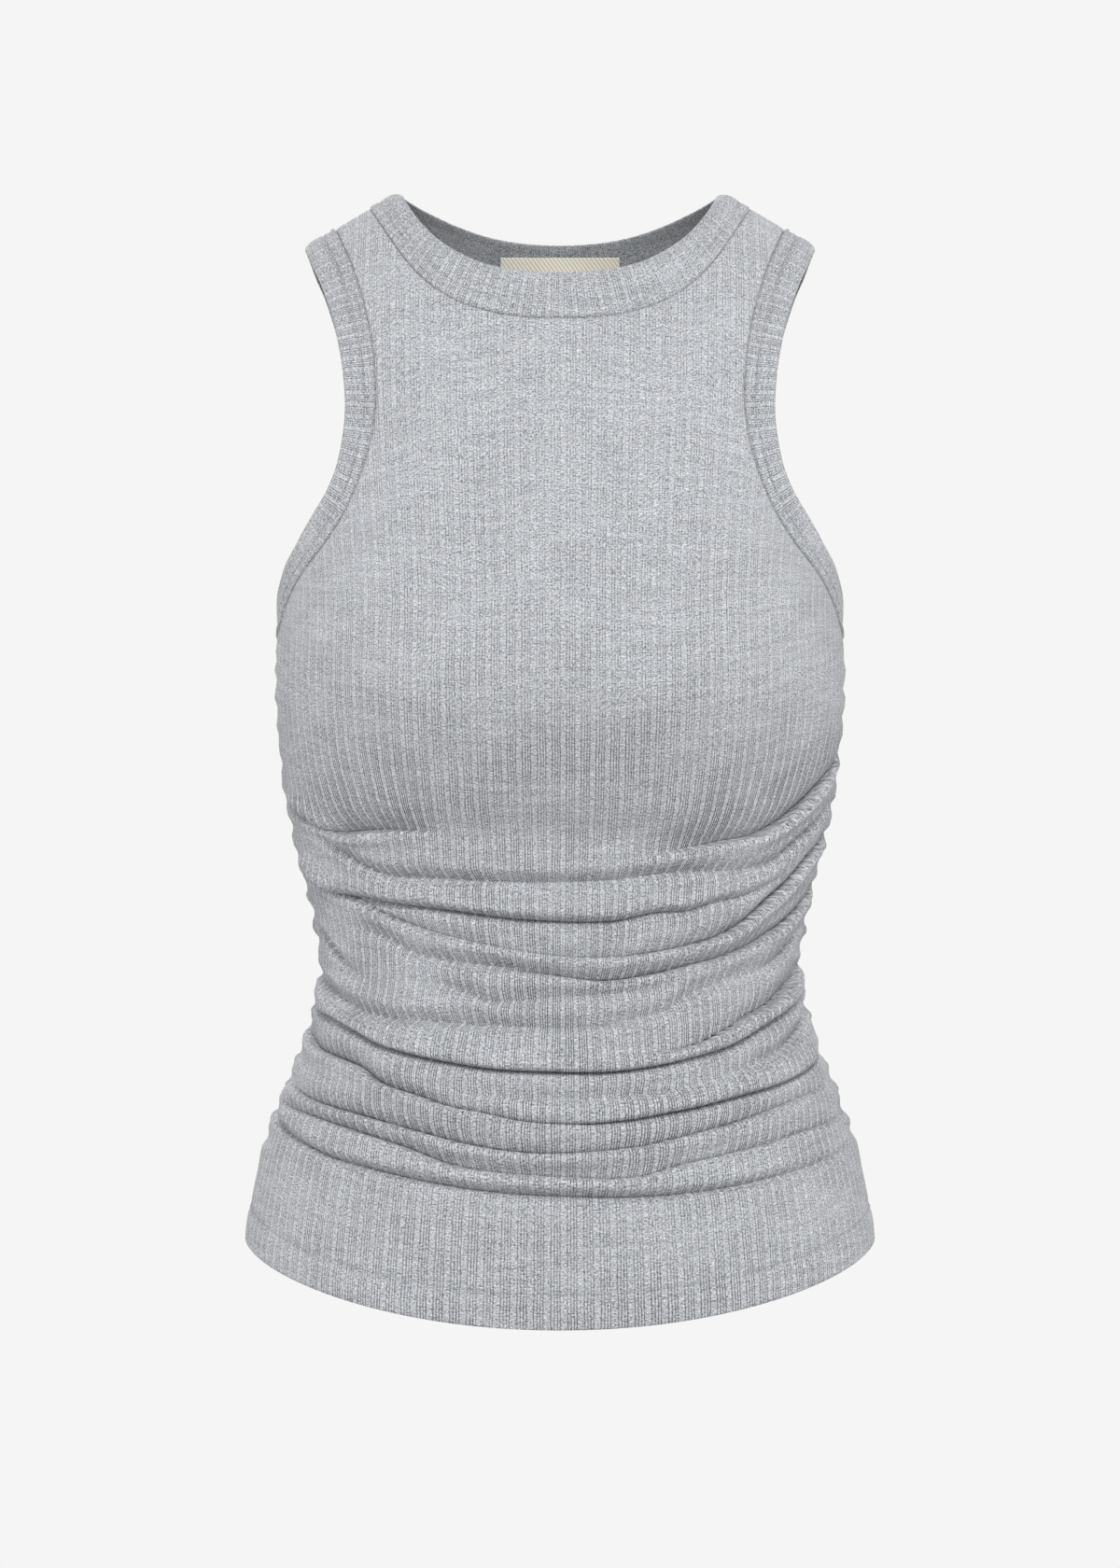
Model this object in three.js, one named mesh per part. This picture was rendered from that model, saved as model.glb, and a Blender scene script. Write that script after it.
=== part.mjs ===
// A side-ruched tank top in fine rib knit, hollow and shaped as it is worn. It has a front and
// a back panel, a band round the neck, a band round each armhole, and a plain label inside the
// back of the neck.
//
// Millimetres, +Z up. The front faces -Y, and +X is the wearer's left. The origin lies midway
// between the two straps, at the height where they rest on the shoulders.
//
// A place on the cloth is an angle and a height: the angle is 0 at the centre line and 90
// degrees at a side seam, and is negative on the wearer's right.
import * as THREE from "three";

// Cloth
const KNIT_WALL = 1.4; // one layer of rib knit
const HEM_WALL = 2.2; // the hem, turned up and stitched flat
const BAND_WALL = 2.6; // the bands, folded double
const LABEL_WALL = 0.8;
const PANEL_GAP = 0.3; // between front and back at the side and shoulder seams
const BAND_GAP = 0.4; // between a panel and a band

// Shoulders: a straight slope that the front and the back meet along
const NECK_POINT = { x: 78.4, z: 12.4 }; // where the neck edge crosses the shoulder
const SHOULDER_SLOPE = 0.587; // fall for each millimetre outwards
const SHOULDER_ROUND = 75; // height over which the cloth turns over the shoulder

// Bust: two soft swells on the front, as on a dress form
const BUST = { x: 70, z: -234, rise: 7, spreadX: 46, spreadZ: 40 };

// Hem and gathers
const HEM_DEPTH = 15.5;
const HEM_STEP = 0.6; // over which the wall thins at the hem's stitching
const HEM_SIDE = -501;
const HEM_MIDDLE = { front: -535, back: -526 };
const SEAM_TOP = -208.5; // where the side seam ends, under the arm
const BUST_LINE = -230; // centre height of the first row that leads to the armholes
const GATHER = { top: -212, bottom: -468, pitch: 12.5, height: 2.4, reach: 13, drift: 0.9, driftOver: 19 };

// Grid
const STEP = 0.5; // degrees or millimetres, over which a direction is measured
const STRAP_COLUMNS = 2;
const NECK_DRAW = 1.6; // how far rows dip under the neckline, to clear its corners
const SIDE_ROWS = 9; // between the top fold and the bust line
const HEM_ROWS = 3; // between the hem's stitching and the lowest fold
const FALL_ROW = 1 / 3; // place of the row on a roll's long face
const BAND_STEPS = [
  { share: 0, wall: 0.9 },
  { share: 0.12, wall: 1 },
  { share: 0.55, wall: 1 },
  { share: 0.92, wall: 1 },
  { share: 1, wall: 0.45 },
];
const LABEL = { width: 61, top: -13, bottom: -46, columns: 6, rows: 4, inset: 2.3 };

// Sections of the worn shape. fullness is 2 on an ellipse and more on a squarer front.
const FORM = [
  { z: -560, halfWidth: 157, front: 109, back: 102, fullness: 2.2 },
  { z: -500, halfWidth: 153.5, front: 107, back: 98, fullness: 2.2 },
  { z: -455, halfWidth: 144.5, front: 103, back: 90, fullness: 2.2 },
  { z: -410, halfWidth: 127, front: 95, back: 75, fullness: 2.1 },
  { z: -385, halfWidth: 119.5, front: 90, back: 68, fullness: 2.1 },
  { z: -360, halfWidth: 117.5, front: 87, back: 64, fullness: 2.1 },
  { z: -320, halfWidth: 126, front: 90, back: 67, fullness: 2.2 },
  { z: -288, halfWidth: 133.5, front: 100, back: 76, fullness: 2.3 },
  { z: -234, halfWidth: 139, front: 117, back: 89, fullness: 2.4 },
  { z: -190, halfWidth: 138.3, front: 113, back: 96, fullness: 2.4 },
  { z: -140, halfWidth: 143, front: 99, back: 98, fullness: 2.4 },
  { z: -90, halfWidth: 148, front: 80, back: 92, fullness: 2.4 },
  { z: -45, halfWidth: 150, front: 62, back: 76, fullness: 2.4 },
  { z: 0, halfWidth: 150, front: 47, back: 62, fullness: 2.4 },
  { z: 40, halfWidth: 150, front: 38, back: 50, fullness: 2.4 },
];

// Folds from the lowest up: the height of the crease at the wearer's right seam, in the middle
// and at the left seam, how far the roll above it stands out at those three places, the roll's
// width, and the lip, the share of the width that its lower face takes.
const FRONT_FOLDS = [
  { right: -447, middle: -473, left: -447, riseR: 2.4, riseM: 4.2, riseL: 2.6, width: 16, lip: 0.2 },
  { right: -430, middle: -452, left: -430, riseR: 3, riseM: 4.6, riseL: 3.4, width: 13, lip: 0.16 },
  { right: -407, middle: -438, left: -416, riseR: 3.8, riseM: 4.4, riseL: 4, width: 12, lip: 0.16 },
  { right: -396, middle: -424, left: -402, riseR: 1.6, riseM: 1.8, riseL: 3, width: 11, lip: 0.35 },
  { right: -384, middle: -412, left: -386, riseR: 3.8, riseM: 4.8, riseL: 4, width: 13, lip: 0.16 },
  { right: -370, middle: -394, left: -370, riseR: 3, riseM: 3.2, riseL: 4, width: 12, lip: 0.3 },
  { right: -354, middle: -381, left: -356, riseR: 0.6, riseM: 2.8, riseL: 1, width: 9, lip: 0.3 },
  { right: -326, middle: -370, left: -341, riseR: 3.6, riseM: 4.8, riseL: 4, width: 13, lip: 0.18 },
  { right: -315, middle: -356, left: -318, riseR: 1, riseM: 1, riseL: 4, width: 10, lip: 0.25 },
  { right: -305, middle: -343, left: -307, riseR: 2.4, riseM: 3.2, riseL: 2.8, width: 13, lip: 0.3 },
  { right: -294, middle: -325, left: -295, riseR: 2.2, riseM: 3, riseL: 2.4, width: 13, lip: 0.3 },
  { right: -282, middle: -307, left: -282, riseR: 3.4, riseM: 0.8, riseL: 3.8, width: 14, lip: 0.2 },
];
const BACK_FOLDS = [
  { right: -447, middle: -464, left: -449, riseR: 2.6, riseM: 3.6, riseL: 2.4, width: 16, lip: 0.22 },
  { right: -429, middle: -445, left: -431, riseR: 3.2, riseM: 3.8, riseL: 3.2, width: 14, lip: 0.18 },
  { right: -410, middle: -427, left: -414, riseR: 3.4, riseM: 2.4, riseL: 3.8, width: 13, lip: 0.26 },
  { right: -392, middle: -409, left: -395, riseR: 3.6, riseM: 4.2, riseL: 3.6, width: 14, lip: 0.18 },
  { right: -373, middle: -391, left: -376, riseR: 3.2, riseM: 3.6, riseL: 3.8, width: 13, lip: 0.24 },
  { right: -352, middle: -372, left: -352, riseR: 3.4, riseM: 4.4, riseL: 3, width: 14, lip: 0.18 },
  { right: -330, middle: -352, left: -333, riseR: 3.8, riseM: 2.6, riseL: 3.6, width: 14, lip: 0.26 },
  { right: -308, middle: -331, left: -310, riseR: 3, riseM: 3.4, riseL: 3.2, width: 14, lip: 0.2 },
  { right: -285, middle: -307, left: -284, riseR: 3.2, riseM: 1.2, riseL: 3.4, width: 15, lip: 0.22 },
];

// Armholes from under the arm up to the shoulder: the seam that joins the band to the panel,
// and the band's open edge across from it.
const FRONT_ARMHOLE = [
  { seamAngle: 90, seamZ: -208.5, edgeAngle: 90, edgeZ: -189 },
  { seamAngle: 82, seamZ: -204.5, edgeAngle: 83, edgeZ: -186 },
  { seamAngle: 74, seamZ: -193.5, edgeAngle: 76.5, edgeZ: -178.5 },
  { seamAngle: 66, seamZ: -182.5, edgeAngle: 70, edgeZ: -170 },
  { seamAngle: 58.5, seamZ: -172.5, edgeAngle: 63.3, edgeZ: -161.5 },
  { seamAngle: 51, seamZ: -161, edgeAngle: 56.7, edgeZ: -150 },
  { seamAngle: 44.5, seamZ: -145, edgeAngle: 50.8, edgeZ: -137.5 },
  { seamAngle: 39.5, seamZ: -124, edgeAngle: 46.5, edgeZ: -120 },
  { seamAngle: 36.6, seamZ: -100, edgeAngle: 44.4, edgeZ: -99 },
  { seamAngle: 36.6, seamZ: -75, edgeAngle: 44.9, edgeZ: -76.5 },
  { seamAngle: 38.4, seamZ: -51, edgeAngle: 47.2, edgeZ: -55 },
  { seamAngle: 41.4, seamZ: -30.5, edgeAngle: 50.7, edgeZ: -37 },
  { seamAngle: 43.9, seamZ: -19, edgeAngle: 53.6, edgeZ: -27 },
  { seamAngle: 45.9, seamZ: -11, edgeAngle: 55.8, edgeZ: -20 },
  { seamAngle: 47.2, edgeAngle: 57.2 },
];
const BACK_ARMHOLE = [
  { seamAngle: 90, seamZ: -208.5, edgeAngle: 90, edgeZ: -189 },
  { seamAngle: 82, seamZ: -205, edgeAngle: 82.5, edgeZ: -186 },
  { seamAngle: 74, seamZ: -195.5, edgeAngle: 76, edgeZ: -178.5 },
  { seamAngle: 66, seamZ: -184.5, edgeAngle: 69.7, edgeZ: -169.5 },
  { seamAngle: 58.5, seamZ: -174.5, edgeAngle: 64, edgeZ: -160 },
  { seamAngle: 52, seamZ: -161, edgeAngle: 58.5, edgeZ: -148.5 },
  { seamAngle: 46.5, seamZ: -144, edgeAngle: 54, edgeZ: -134.5 },
  { seamAngle: 42.5, seamZ: -123, edgeAngle: 50.5, edgeZ: -117 },
  { seamAngle: 40.2, seamZ: -100, edgeAngle: 48.6, edgeZ: -98 },
  { seamAngle: 39.8, seamZ: -76, edgeAngle: 48.4, edgeZ: -77 },
  { seamAngle: 40.8, seamZ: -53, edgeAngle: 49.8, edgeZ: -57 },
  { seamAngle: 42.8, seamZ: -32, edgeAngle: 52.2, edgeZ: -38.5 },
  { seamAngle: 44.6, seamZ: -19, edgeAngle: 54.3, edgeZ: -27 },
  { seamAngle: 46.2, seamZ: -11, edgeAngle: 56, edgeZ: -20 },
  { seamAngle: 47.2, edgeAngle: 57.2 },
];

// Neckline from the centre out to the shoulder, in the same columns
const FRONT_NECK = [
  { seamAngle: 0, seamZ: -56.7, edgeAngle: 0, edgeZ: -33 },
  { seamAngle: 7, seamZ: -56, edgeAngle: 5.6, edgeZ: -32.5 },
  { seamAngle: 13.5, seamZ: -53, edgeAngle: 11, edgeZ: -30.6 },
  { seamAngle: 19.5, seamZ: -47.5, edgeAngle: 16, edgeZ: -26.6 },
  { seamAngle: 25, seamZ: -38.5, edgeAngle: 20.6, edgeZ: -20 },
  { seamAngle: 29.6, seamZ: -27, edgeAngle: 24.6, edgeZ: -12 },
  { seamAngle: 33.3, seamZ: -15, edgeAngle: 27.7, edgeZ: -3.2 },
  { seamAngle: 36.1, seamZ: -5.5, edgeAngle: 29.8, edgeZ: 4.4 },
  { seamAngle: 38, seamZ: 0.8, edgeAngle: 31.1, edgeZ: 10 },
  { seamAngle: 38.7, edgeAngle: 31.5 },
];
const BACK_NECK = [
  { seamAngle: 0, seamZ: -26, edgeAngle: 0, edgeZ: -6 },
  { seamAngle: 7, seamZ: -25.5, edgeAngle: 5.8, edgeZ: -5.5 },
  { seamAngle: 13.5, seamZ: -23.6, edgeAngle: 11.4, edgeZ: -3.8 },
  { seamAngle: 19.5, seamZ: -20.2, edgeAngle: 16.6, edgeZ: -0.9 },
  { seamAngle: 25, seamZ: -15.4, edgeAngle: 21.2, edgeZ: 2.6 },
  { seamAngle: 29.6, seamZ: -10, edgeAngle: 25, edgeZ: 6 },
  { seamAngle: 33.3, seamZ: -5, edgeAngle: 28, edgeZ: 8.8 },
  { seamAngle: 36.1, seamZ: -0.8, edgeAngle: 30, edgeZ: 10.8 },
  { seamAngle: 38, seamZ: 2, edgeAngle: 31.1, edgeZ: 11.9 },
  { seamAngle: 38.7, edgeAngle: 31.5 },
];

const STRAP_SHARE = STRAP_COLUMNS / (FRONT_NECK.length - 1 + STRAP_COLUMNS); // of a half width

const FRONT = {
  facing: -1,
  depth: "front",
  folds: FRONT_FOLDS,
  armhole: FRONT_ARMHOLE,
  neck: FRONT_NECK,
  hemMiddle: HEM_MIDDLE.front,
};
const BACK = {
  facing: 1,
  depth: "back",
  folds: BACK_FOLDS,
  armhole: BACK_ARMHOLE,
  neck: BACK_NECK,
  hemMiddle: HEM_MIDDLE.back,
};

const radians = (degrees) => (degrees * Math.PI) / 180;
const degrees = (angle) => (angle * 180) / Math.PI;
const mix = (a, b, share) => a + (b - a) * share;
const clamp01 = (value) => Math.min(1, Math.max(0, value));
const ease = (value) => clamp01(value) ** 2 * (3 - 2 * clamp01(value));

// Every column of the form at a height, on smooth curves through the table.
function formAt(z) {
  const last = FORM.length - 2;
  let i = FORM.findIndex((row) => row.z > z) - 1;
  i = i < 0 ? (z < FORM[0].z ? 0 : last) : Math.min(i, last);
  const [before, low, high, after] = [-1, 0, 1, 2].map((k) => FORM[Math.min(Math.max(i + k, 0), last + 1)]);
  const share = clamp01((z - low.z) / (high.z - low.z));
  const slope = (a, b, key) => ((b[key] - a[key]) / (b.z - a.z)) * (high.z - low.z);
  const at = {};
  for (const key of ["halfWidth", "front", "back", "fullness"]) {
    const start = slope(before, high, key);
    const end = slope(low, after, key);
    const rise = high[key] - low[key];
    at[key] =
      low[key] + share * start + share ** 2 * (3 * rise - 2 * start - end) + share ** 3 * (start + end - 2 * rise);
  }
  return at;
}

const shoulderAt = (x) => NECK_POINT.z + SHOULDER_SLOPE * (NECK_POINT.x - Math.abs(x));

// The worn shape without folds, at an angle and a height on the front or the back.
function bodyPoint(panel, angle, z) {
  const form = formAt(z);
  const sine = Math.sin(radians(angle));
  const x = form.halfWidth * sine;
  const below = clamp01((shoulderAt(x) - z) / SHOULDER_ROUND);
  const shoulder = Math.sqrt(1 - (1 - below) ** 2);
  const curve = Math.sqrt(Math.max(0, 1 - Math.abs(sine) ** form.fullness));
  let depth = form[panel.depth] * curve * shoulder;
  if (panel === FRONT) {
    const sideways = (Math.abs(x) - BUST.x) / BUST.spreadX;
    const upwards = (z - BUST.z) / BUST.spreadZ;
    depth += BUST.rise * Math.exp(-(sideways ** 2) - upwards ** 2) * curve;
  }
  return new THREE.Vector3(x, panel.facing * depth, z);
}

// 0 in the middle of a panel and 1 at its side seams: the line that hanging cloth takes between.
const climb = (angle) => (1 - Math.cos(radians(angle))) / 2 + Math.sin(radians(angle)) ** 2 / 2;

// A value that is given at the right seam, in the middle and at the left seam, at an angle.
const across = (at, angle) => mix(at.middle, angle < 0 ? at.right : at.left, climb(angle));

// The roll of each fold is kept clear of the crease above it.
function placeFolds(folds) {
  return folds.map((fold, i) => {
    const next = folds[i + 1];
    const roomy = (side) => (next ? Math.min(fold.width, 0.85 * (next[side] - fold[side])) : fold.width);
    return {
      crease: fold,
      rise: { right: fold.riseR, middle: fold.riseM, left: fold.riseL },
      width: { right: roomy("right"), middle: roomy("middle"), left: roomy("left") },
      lip: fold.lip,
    };
  });
}
FRONT.placed = placeFolds(FRONT_FOLDS);
BACK.placed = placeFolds(BACK_FOLDS);

// How far a roll stands out, as a share of its rise: a dip under it, a lip, then a long fall.
const DIP = 0.2;
const DIP_REACH = 0.3;
function rollShape(share, lip) {
  if (share < 0) return -DIP * ease(1 + share / DIP_REACH);
  if (share < lip) return mix(-DIP, 1, ease(share / lip));
  return ease((1 - share) / (1 - lip));
}

function foldLift(panel, angle, z) {
  let lift = 0;
  for (const fold of panel.placed) {
    const share = (z - across(fold.crease, angle)) / across(fold.width, angle);
    lift += across(fold.rise, angle) * rollShape(share, fold.lip);
  }
  return lift;
}

// Small puckers along the gathered side seam, dying out into the panel.
function gatherLift(angle, z) {
  const along = ease((GATHER.top - z) / GATHER.pitch) * ease((z - GATHER.bottom) / GATHER.pitch);
  const near = Math.exp(-(((90 - Math.abs(angle)) / GATHER.reach) ** 2));
  const uneven = Math.sign(angle) + GATHER.drift * Math.sin(z / GATHER.driftOver);
  const phase = (2 * Math.PI * z) / GATHER.pitch + uneven;
  return GATHER.height * along * near * Math.sin(phase);
}

function clothPoint(panel, angle, z) {
  const here = bodyPoint(panel, angle, z);
  if (z > SEAM_TOP) return here;
  const sideways = bodyPoint(panel, angle + STEP, z).sub(bodyPoint(panel, angle - STEP, z));
  const upwards = bodyPoint(panel, angle, z + STEP).sub(bodyPoint(panel, angle, z - STEP));
  const outwards = sideways.cross(upwards).normalize().multiplyScalar(-panel.facing);
  return here.addScaledVector(outwards, foldLift(panel, angle, z) + gatherLift(angle, z));
}

// Rows below the armholes, from the hem up. Each has a height at the right, middle and left.
function bodyRows(panel) {
  const level = (side, middle, wall) => ({ right: side, middle, left: side, wall });
  const between = (low, high, share) => ({
    right: mix(low.right, high.right, share),
    middle: mix(low.middle, high.middle, share),
    left: mix(low.left, high.left, share),
    wall: KNIT_WALL,
  });
  const steps = (low, high, count) =>
    Array.from({ length: count }, (_, i) => between(low, high, (i + 1) / (count + 1)));
  const raised = (fold, share) => ({
    right: fold.crease.right + share * fold.width.right,
    middle: fold.crease.middle + share * fold.width.middle,
    left: fold.crease.left + share * fold.width.left,
    wall: KNIT_WALL,
  });

  const hemRow = (up, wall) => level(HEM_SIDE + up, panel.hemMiddle + up, wall);
  const stitching = hemRow(HEM_DEPTH, KNIT_WALL);
  const rows = [hemRow(0, HEM_WALL), hemRow(HEM_DEPTH - HEM_STEP, HEM_WALL), stitching];
  rows.push(...steps(stitching, panel.placed[0].crease, HEM_ROWS));
  for (const fold of panel.placed) {
    const foot = 0;
    const crest = fold.lip;
    const slope = mix(fold.lip, 1, FALL_ROW);
    for (const share of [foot, crest, slope, 1]) rows.push(raised(fold, share));
  }
  const bustLine = level(SEAM_TOP, BUST_LINE, KNIT_WALL);
  rows.push(...steps(rows.at(-1), bustLine, SIDE_ROWS), bustLine);
  return rows;
}

// Columns from the right seam to the left, as shares of the half width.
function columnShares(panel) {
  const half = panel.neck.length - 1 + STRAP_COLUMNS;
  return Array.from({ length: 2 * half + 1 }, (_, i) => i / half - 1);
}

// The panel's top edge: the neck seam, then the shoulder seam, at a share of the half width.
function topEdge(panel, share) {
  const neckColumns = panel.neck.length - 1;
  const column = Math.abs(share) * (neckColumns + STRAP_COLUMNS);
  const corner = panel.neck.at(-1).seamAngle;
  const end = panel.armhole.at(-1).seamAngle;
  const onNeck = column <= neckColumns + 1e-6;
  const row = onNeck ? panel.neck[Math.round(column)] : null;
  const angle = onNeck ? row.seamAngle : mix(corner, end, (column - neckColumns) / STRAP_COLUMNS);
  return { angle, z: row?.seamZ ?? shoulderHeight(angle) };
}

// The height at which an angle meets the shoulder, where the form has its full width.
function shoulderHeight(angle) {
  let z = 0;
  for (let pass = 0; pass < 8; pass++) z = shoulderAt(formAt(z).halfWidth * Math.sin(radians(angle)));
  return z;
}

// Middle of the cloth at every row and column of a panel.
function panelGrid(panel) {
  const shares = columnShares(panel);
  const rows = bodyRows(panel);
  const walls = rows.map((row) => row.wall);
  const grid = rows.map((row) => shares.map((share) => clothPoint(panel, 90 * share, across(row, 90 * share))));
  const bustLine = rows.at(-1);
  const top = shares.map((share) => topEdge(panel, share));
  const shoulderZ = shoulderHeight(panel.armhole.at(-1).seamAngle);
  for (const row of panel.armhole.slice(1)) {
    const height = ((row.seamZ ?? shoulderZ) - SEAM_TOP) / (shoulderZ - SEAM_TOP);
    grid.push(
      shares.map((share, i) => {
        const inwards = clamp01((1 - Math.abs(share)) / STRAP_SHARE);
        const drawn = height - NECK_DRAW * inwards * (1 - height) * height ** 4;
        const spread = mix(Math.abs(share), top[i].angle / panel.armhole.at(-1).seamAngle, drawn);
        const angle = Math.sign(share) * spread * row.seamAngle;
        return bodyPoint(panel, angle, mix(across(bustLine, 90 * share), top[i].z, drawn));
      }),
    );
    walls.push(KNIT_WALL);
  }
  return { grid, walls };
}

// Outward directions at the points of a grid, from their neighbours. A ring's columns wrap.
function gridNormals(grid, turn, ring = false) {
  const count = grid[0].length;
  const column = (i) => (ring ? (i + count) % count : Math.min(Math.max(i, 0), count - 1));
  const lastRow = grid.length - 1;
  return grid.map((row, r) =>
    row.map((_, c) => {
      const sideways = row[column(c + 1)].clone().sub(row[column(c - 1)]);
      const upwards = grid[Math.min(r + 1, lastRow)][c].clone().sub(grid[Math.max(r - 1, 0)][c]);
      return sideways.cross(upwards).normalize().multiplyScalar(turn);
    }),
  );
}

// A closed solid from a list of points and of triangles.
function solid(points, triangles) {
  const geometry = new THREE.BufferGeometry();
  const numbers = points.flatMap((point) => point.toArray());
  geometry.setAttribute("position", new THREE.Float32BufferAttribute(numbers, 3));
  geometry.setIndex(triangles.flat());
  geometry.computeVertexNormals();
  return geometry;
}

// A sheet of cloth with a wall: two skins, either side of the grid, joined round the rim. With
// turn 1, columns that run to the right and rows that run up are seen from outside.
function clothWall({ grid, normals, walls, turn, ring = false }) {
  const [rows, columns] = [grid.length, grid[0].length];
  const skin = (side) =>
    grid.flatMap((row, r) =>
      row.map((point, c) => point.clone().addScaledVector(normals[r][c], (side * walls[r]) / 2)),
    );
  const points = [...skin(1), ...skin(-1)];
  const outer = (r, c) => r * columns + (c % columns);
  const inner = (r, c) => rows * columns + outer(r, c);
  const triangles = [];
  const face = (a, b, c, d) => {
    if (turn > 0) triangles.push([a, b, c], [a, c, d]);
    else triangles.push([a, c, b], [a, d, c]);
  };
  const lastColumn = ring ? columns : columns - 1;
  const top = rows - 1;
  for (let c = 0; c < lastColumn; c++) {
    for (let r = 0; r < top; r++) {
      face(outer(r, c), outer(r, c + 1), outer(r + 1, c + 1), outer(r + 1, c));
      face(inner(r, c), inner(r + 1, c), inner(r + 1, c + 1), inner(r, c + 1));
    }
    face(outer(0, c + 1), outer(0, c), inner(0, c), inner(0, c + 1));
    face(outer(top, c), outer(top, c + 1), inner(top, c + 1), inner(top, c));
  }
  for (let r = 0; r < top && !ring; r++) {
    face(outer(r, 0), outer(r + 1, 0), inner(r + 1, 0), inner(r, 0));
    face(outer(r + 1, lastColumn), outer(r, lastColumn), inner(r, lastColumn), inner(r + 1, lastColumn));
  }
  return solid(points, triangles);
}

// Outward direction of the form where a band is sewn on, shared by the band and the panel.
function seamNormal(panel, point) {
  const side = Math.sign(point.x);
  if (Math.abs(point.y) < PANEL_GAP) {
    const underArm = point.z < SEAM_TOP + BAND_WALL;
    return underArm ? new THREE.Vector3(side, 0, 0) : new THREE.Vector3(side * SHOULDER_SLOPE, 0, 1).normalize();
  }
  const angle = degrees(Math.asin(point.x / formAt(point.z).halfWidth));
  const sideways = bodyPoint(panel, angle + STEP, point.z).sub(bodyPoint(panel, angle - STEP, point.z));
  const upwards = point.clone().sub(bodyPoint(panel, angle, point.z - STEP));
  return sideways.cross(upwards).normalize().multiplyScalar(-panel.facing);
}

// The panels stop just short of each other along the side and shoulder seams.
function panelSolid(panel) {
  const { grid, walls } = panelGrid(panel);
  const turn = -panel.facing;
  const normals = gridNormals(grid, turn);
  const half = (grid[0].length - 1) / 2;
  const strapStart = panel.neck.length - 1;
  const top = grid.length - 1;
  const firstStrapRow = top - panel.armhole.length + 1;
  grid.forEach((row, r) =>
    row.forEach((point, c) => {
      const column = Math.abs(c - half);
      const onSide = column === half && r <= firstStrapRow;
      const onShoulder = r === top && column >= strapStart;
      const onBand = (column === half && r >= firstStrapRow) || (r === top && column <= strapStart);
      if (onSide || onShoulder) {
        point.y = (panel.facing * PANEL_GAP) / 2;
        normals[r][c].setY(0).normalize();
      }
      if (onBand) normals[r][c] = seamNormal(panel, point);
    }),
  );
  return clothWall({ grid, normals, walls, turn });
}

// One crossing of a band, from just past its seam to its open edge.
function bandCrossing(panel, row) {
  const seamZ = row.seamZ ?? shoulderHeight(row.seamAngle);
  const edgeZ = row.edgeZ ?? shoulderHeight(row.edgeAngle);
  const at = (share) => bodyPoint(panel, mix(row.seamAngle, row.edgeAngle, share), mix(seamZ, edgeZ, share));
  const gap = BAND_GAP / at(0).distanceTo(at(1));
  return { points: BAND_STEPS.map(({ share }) => at(mix(gap, 1, share))), seam: seamNormal(panel, at(0)) };
}

// A band is a ring of crossings. Its open edge is a fold, so the wall rounds off there.
function bandSolid(crossings) {
  const grid = BAND_STEPS.map((_, r) => crossings.map((crossing) => crossing.points[r]));
  const walls = BAND_STEPS.map(({ wall }) => wall * BAND_WALL);
  const normals = gridNormals(grid, 1, true);
  normals[0] = crossings.map((crossing) => crossing.seam);
  return clothWall({ grid, normals, walls, turn: 1, ring: true });
}

const flip = new THREE.Vector3(-1, 1, 1);
const mirrored = ({ points, seam }) => ({
  points: points.map((point) => point.clone().multiply(flip)),
  seam: seam.clone().multiply(flip),
});

function neckBand() {
  const front = FRONT_NECK.map((row) => bandCrossing(FRONT, row));
  const back = BACK_NECK.slice(1, -1).map((row) => bandCrossing(BACK, row));
  const backMiddle = bandCrossing(BACK, BACK_NECK[0]);
  return bandSolid([
    ...front.slice(1).reverse().map(mirrored),
    ...front,
    ...back.toReversed(),
    backMiddle,
    ...back.map(mirrored),
  ]);
}

// Down the front of the wearer's left armhole and up its back. The right one is its mirror.
function armholeBand(side) {
  const front = FRONT_ARMHOLE.map((row) => bandCrossing(FRONT, row));
  const back = BACK_ARMHOLE.slice(1, -1).map((row) => bandCrossing(BACK, row));
  const left = [...front.toReversed(), ...back];
  return bandSolid(side === "left" ? left : left.map(mirrored).reverse());
}

// The label follows the inside of the back, clear of the neck band.
function labelSolid() {
  const { width, top, bottom, columns, rows, inset } = LABEL;
  const grid = Array.from({ length: rows + 1 }, (_, r) =>
    Array.from({ length: columns + 1 }, (_, c) => {
      const z = mix(bottom, top, r / rows);
      const x = width * (c / columns - 0.5);
      const angle = degrees(Math.asin(x / formAt(z).halfWidth));
      return bodyPoint(BACK, angle, z);
    }),
  );
  const normals = gridNormals(grid, -1);
  grid.forEach((row, r) => row.forEach((point, c) => point.addScaledVector(normals[r][c], -inset)));
  return clothWall({ grid, normals, walls: grid.map(() => LABEL_WALL), turn: -1 });
}

const scene = new THREE.Group();
function add(name, geometry, material) {
  const mesh = new THREE.Mesh(geometry, material);
  mesh.name = name;
  scene.add(mesh);
}
const knit = new THREE.MeshStandardMaterial({ color: "#b6b8bc", roughness: 0.95, metalness: 0 });
const tape = new THREE.MeshStandardMaterial({ color: "#c9c5b7", roughness: 0.9, metalness: 0 });

add("front_panel", panelSolid(FRONT), knit);
add("back_panel", panelSolid(BACK), knit);
add("neck_binding", neckBand(), knit);
add("armhole_binding_left", armholeBand("left"), knit);
add("armhole_binding_right", armholeBand("right"), knit);
add("neck_label", labelSolid(), tape);

export default scene;
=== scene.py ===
import math

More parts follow.
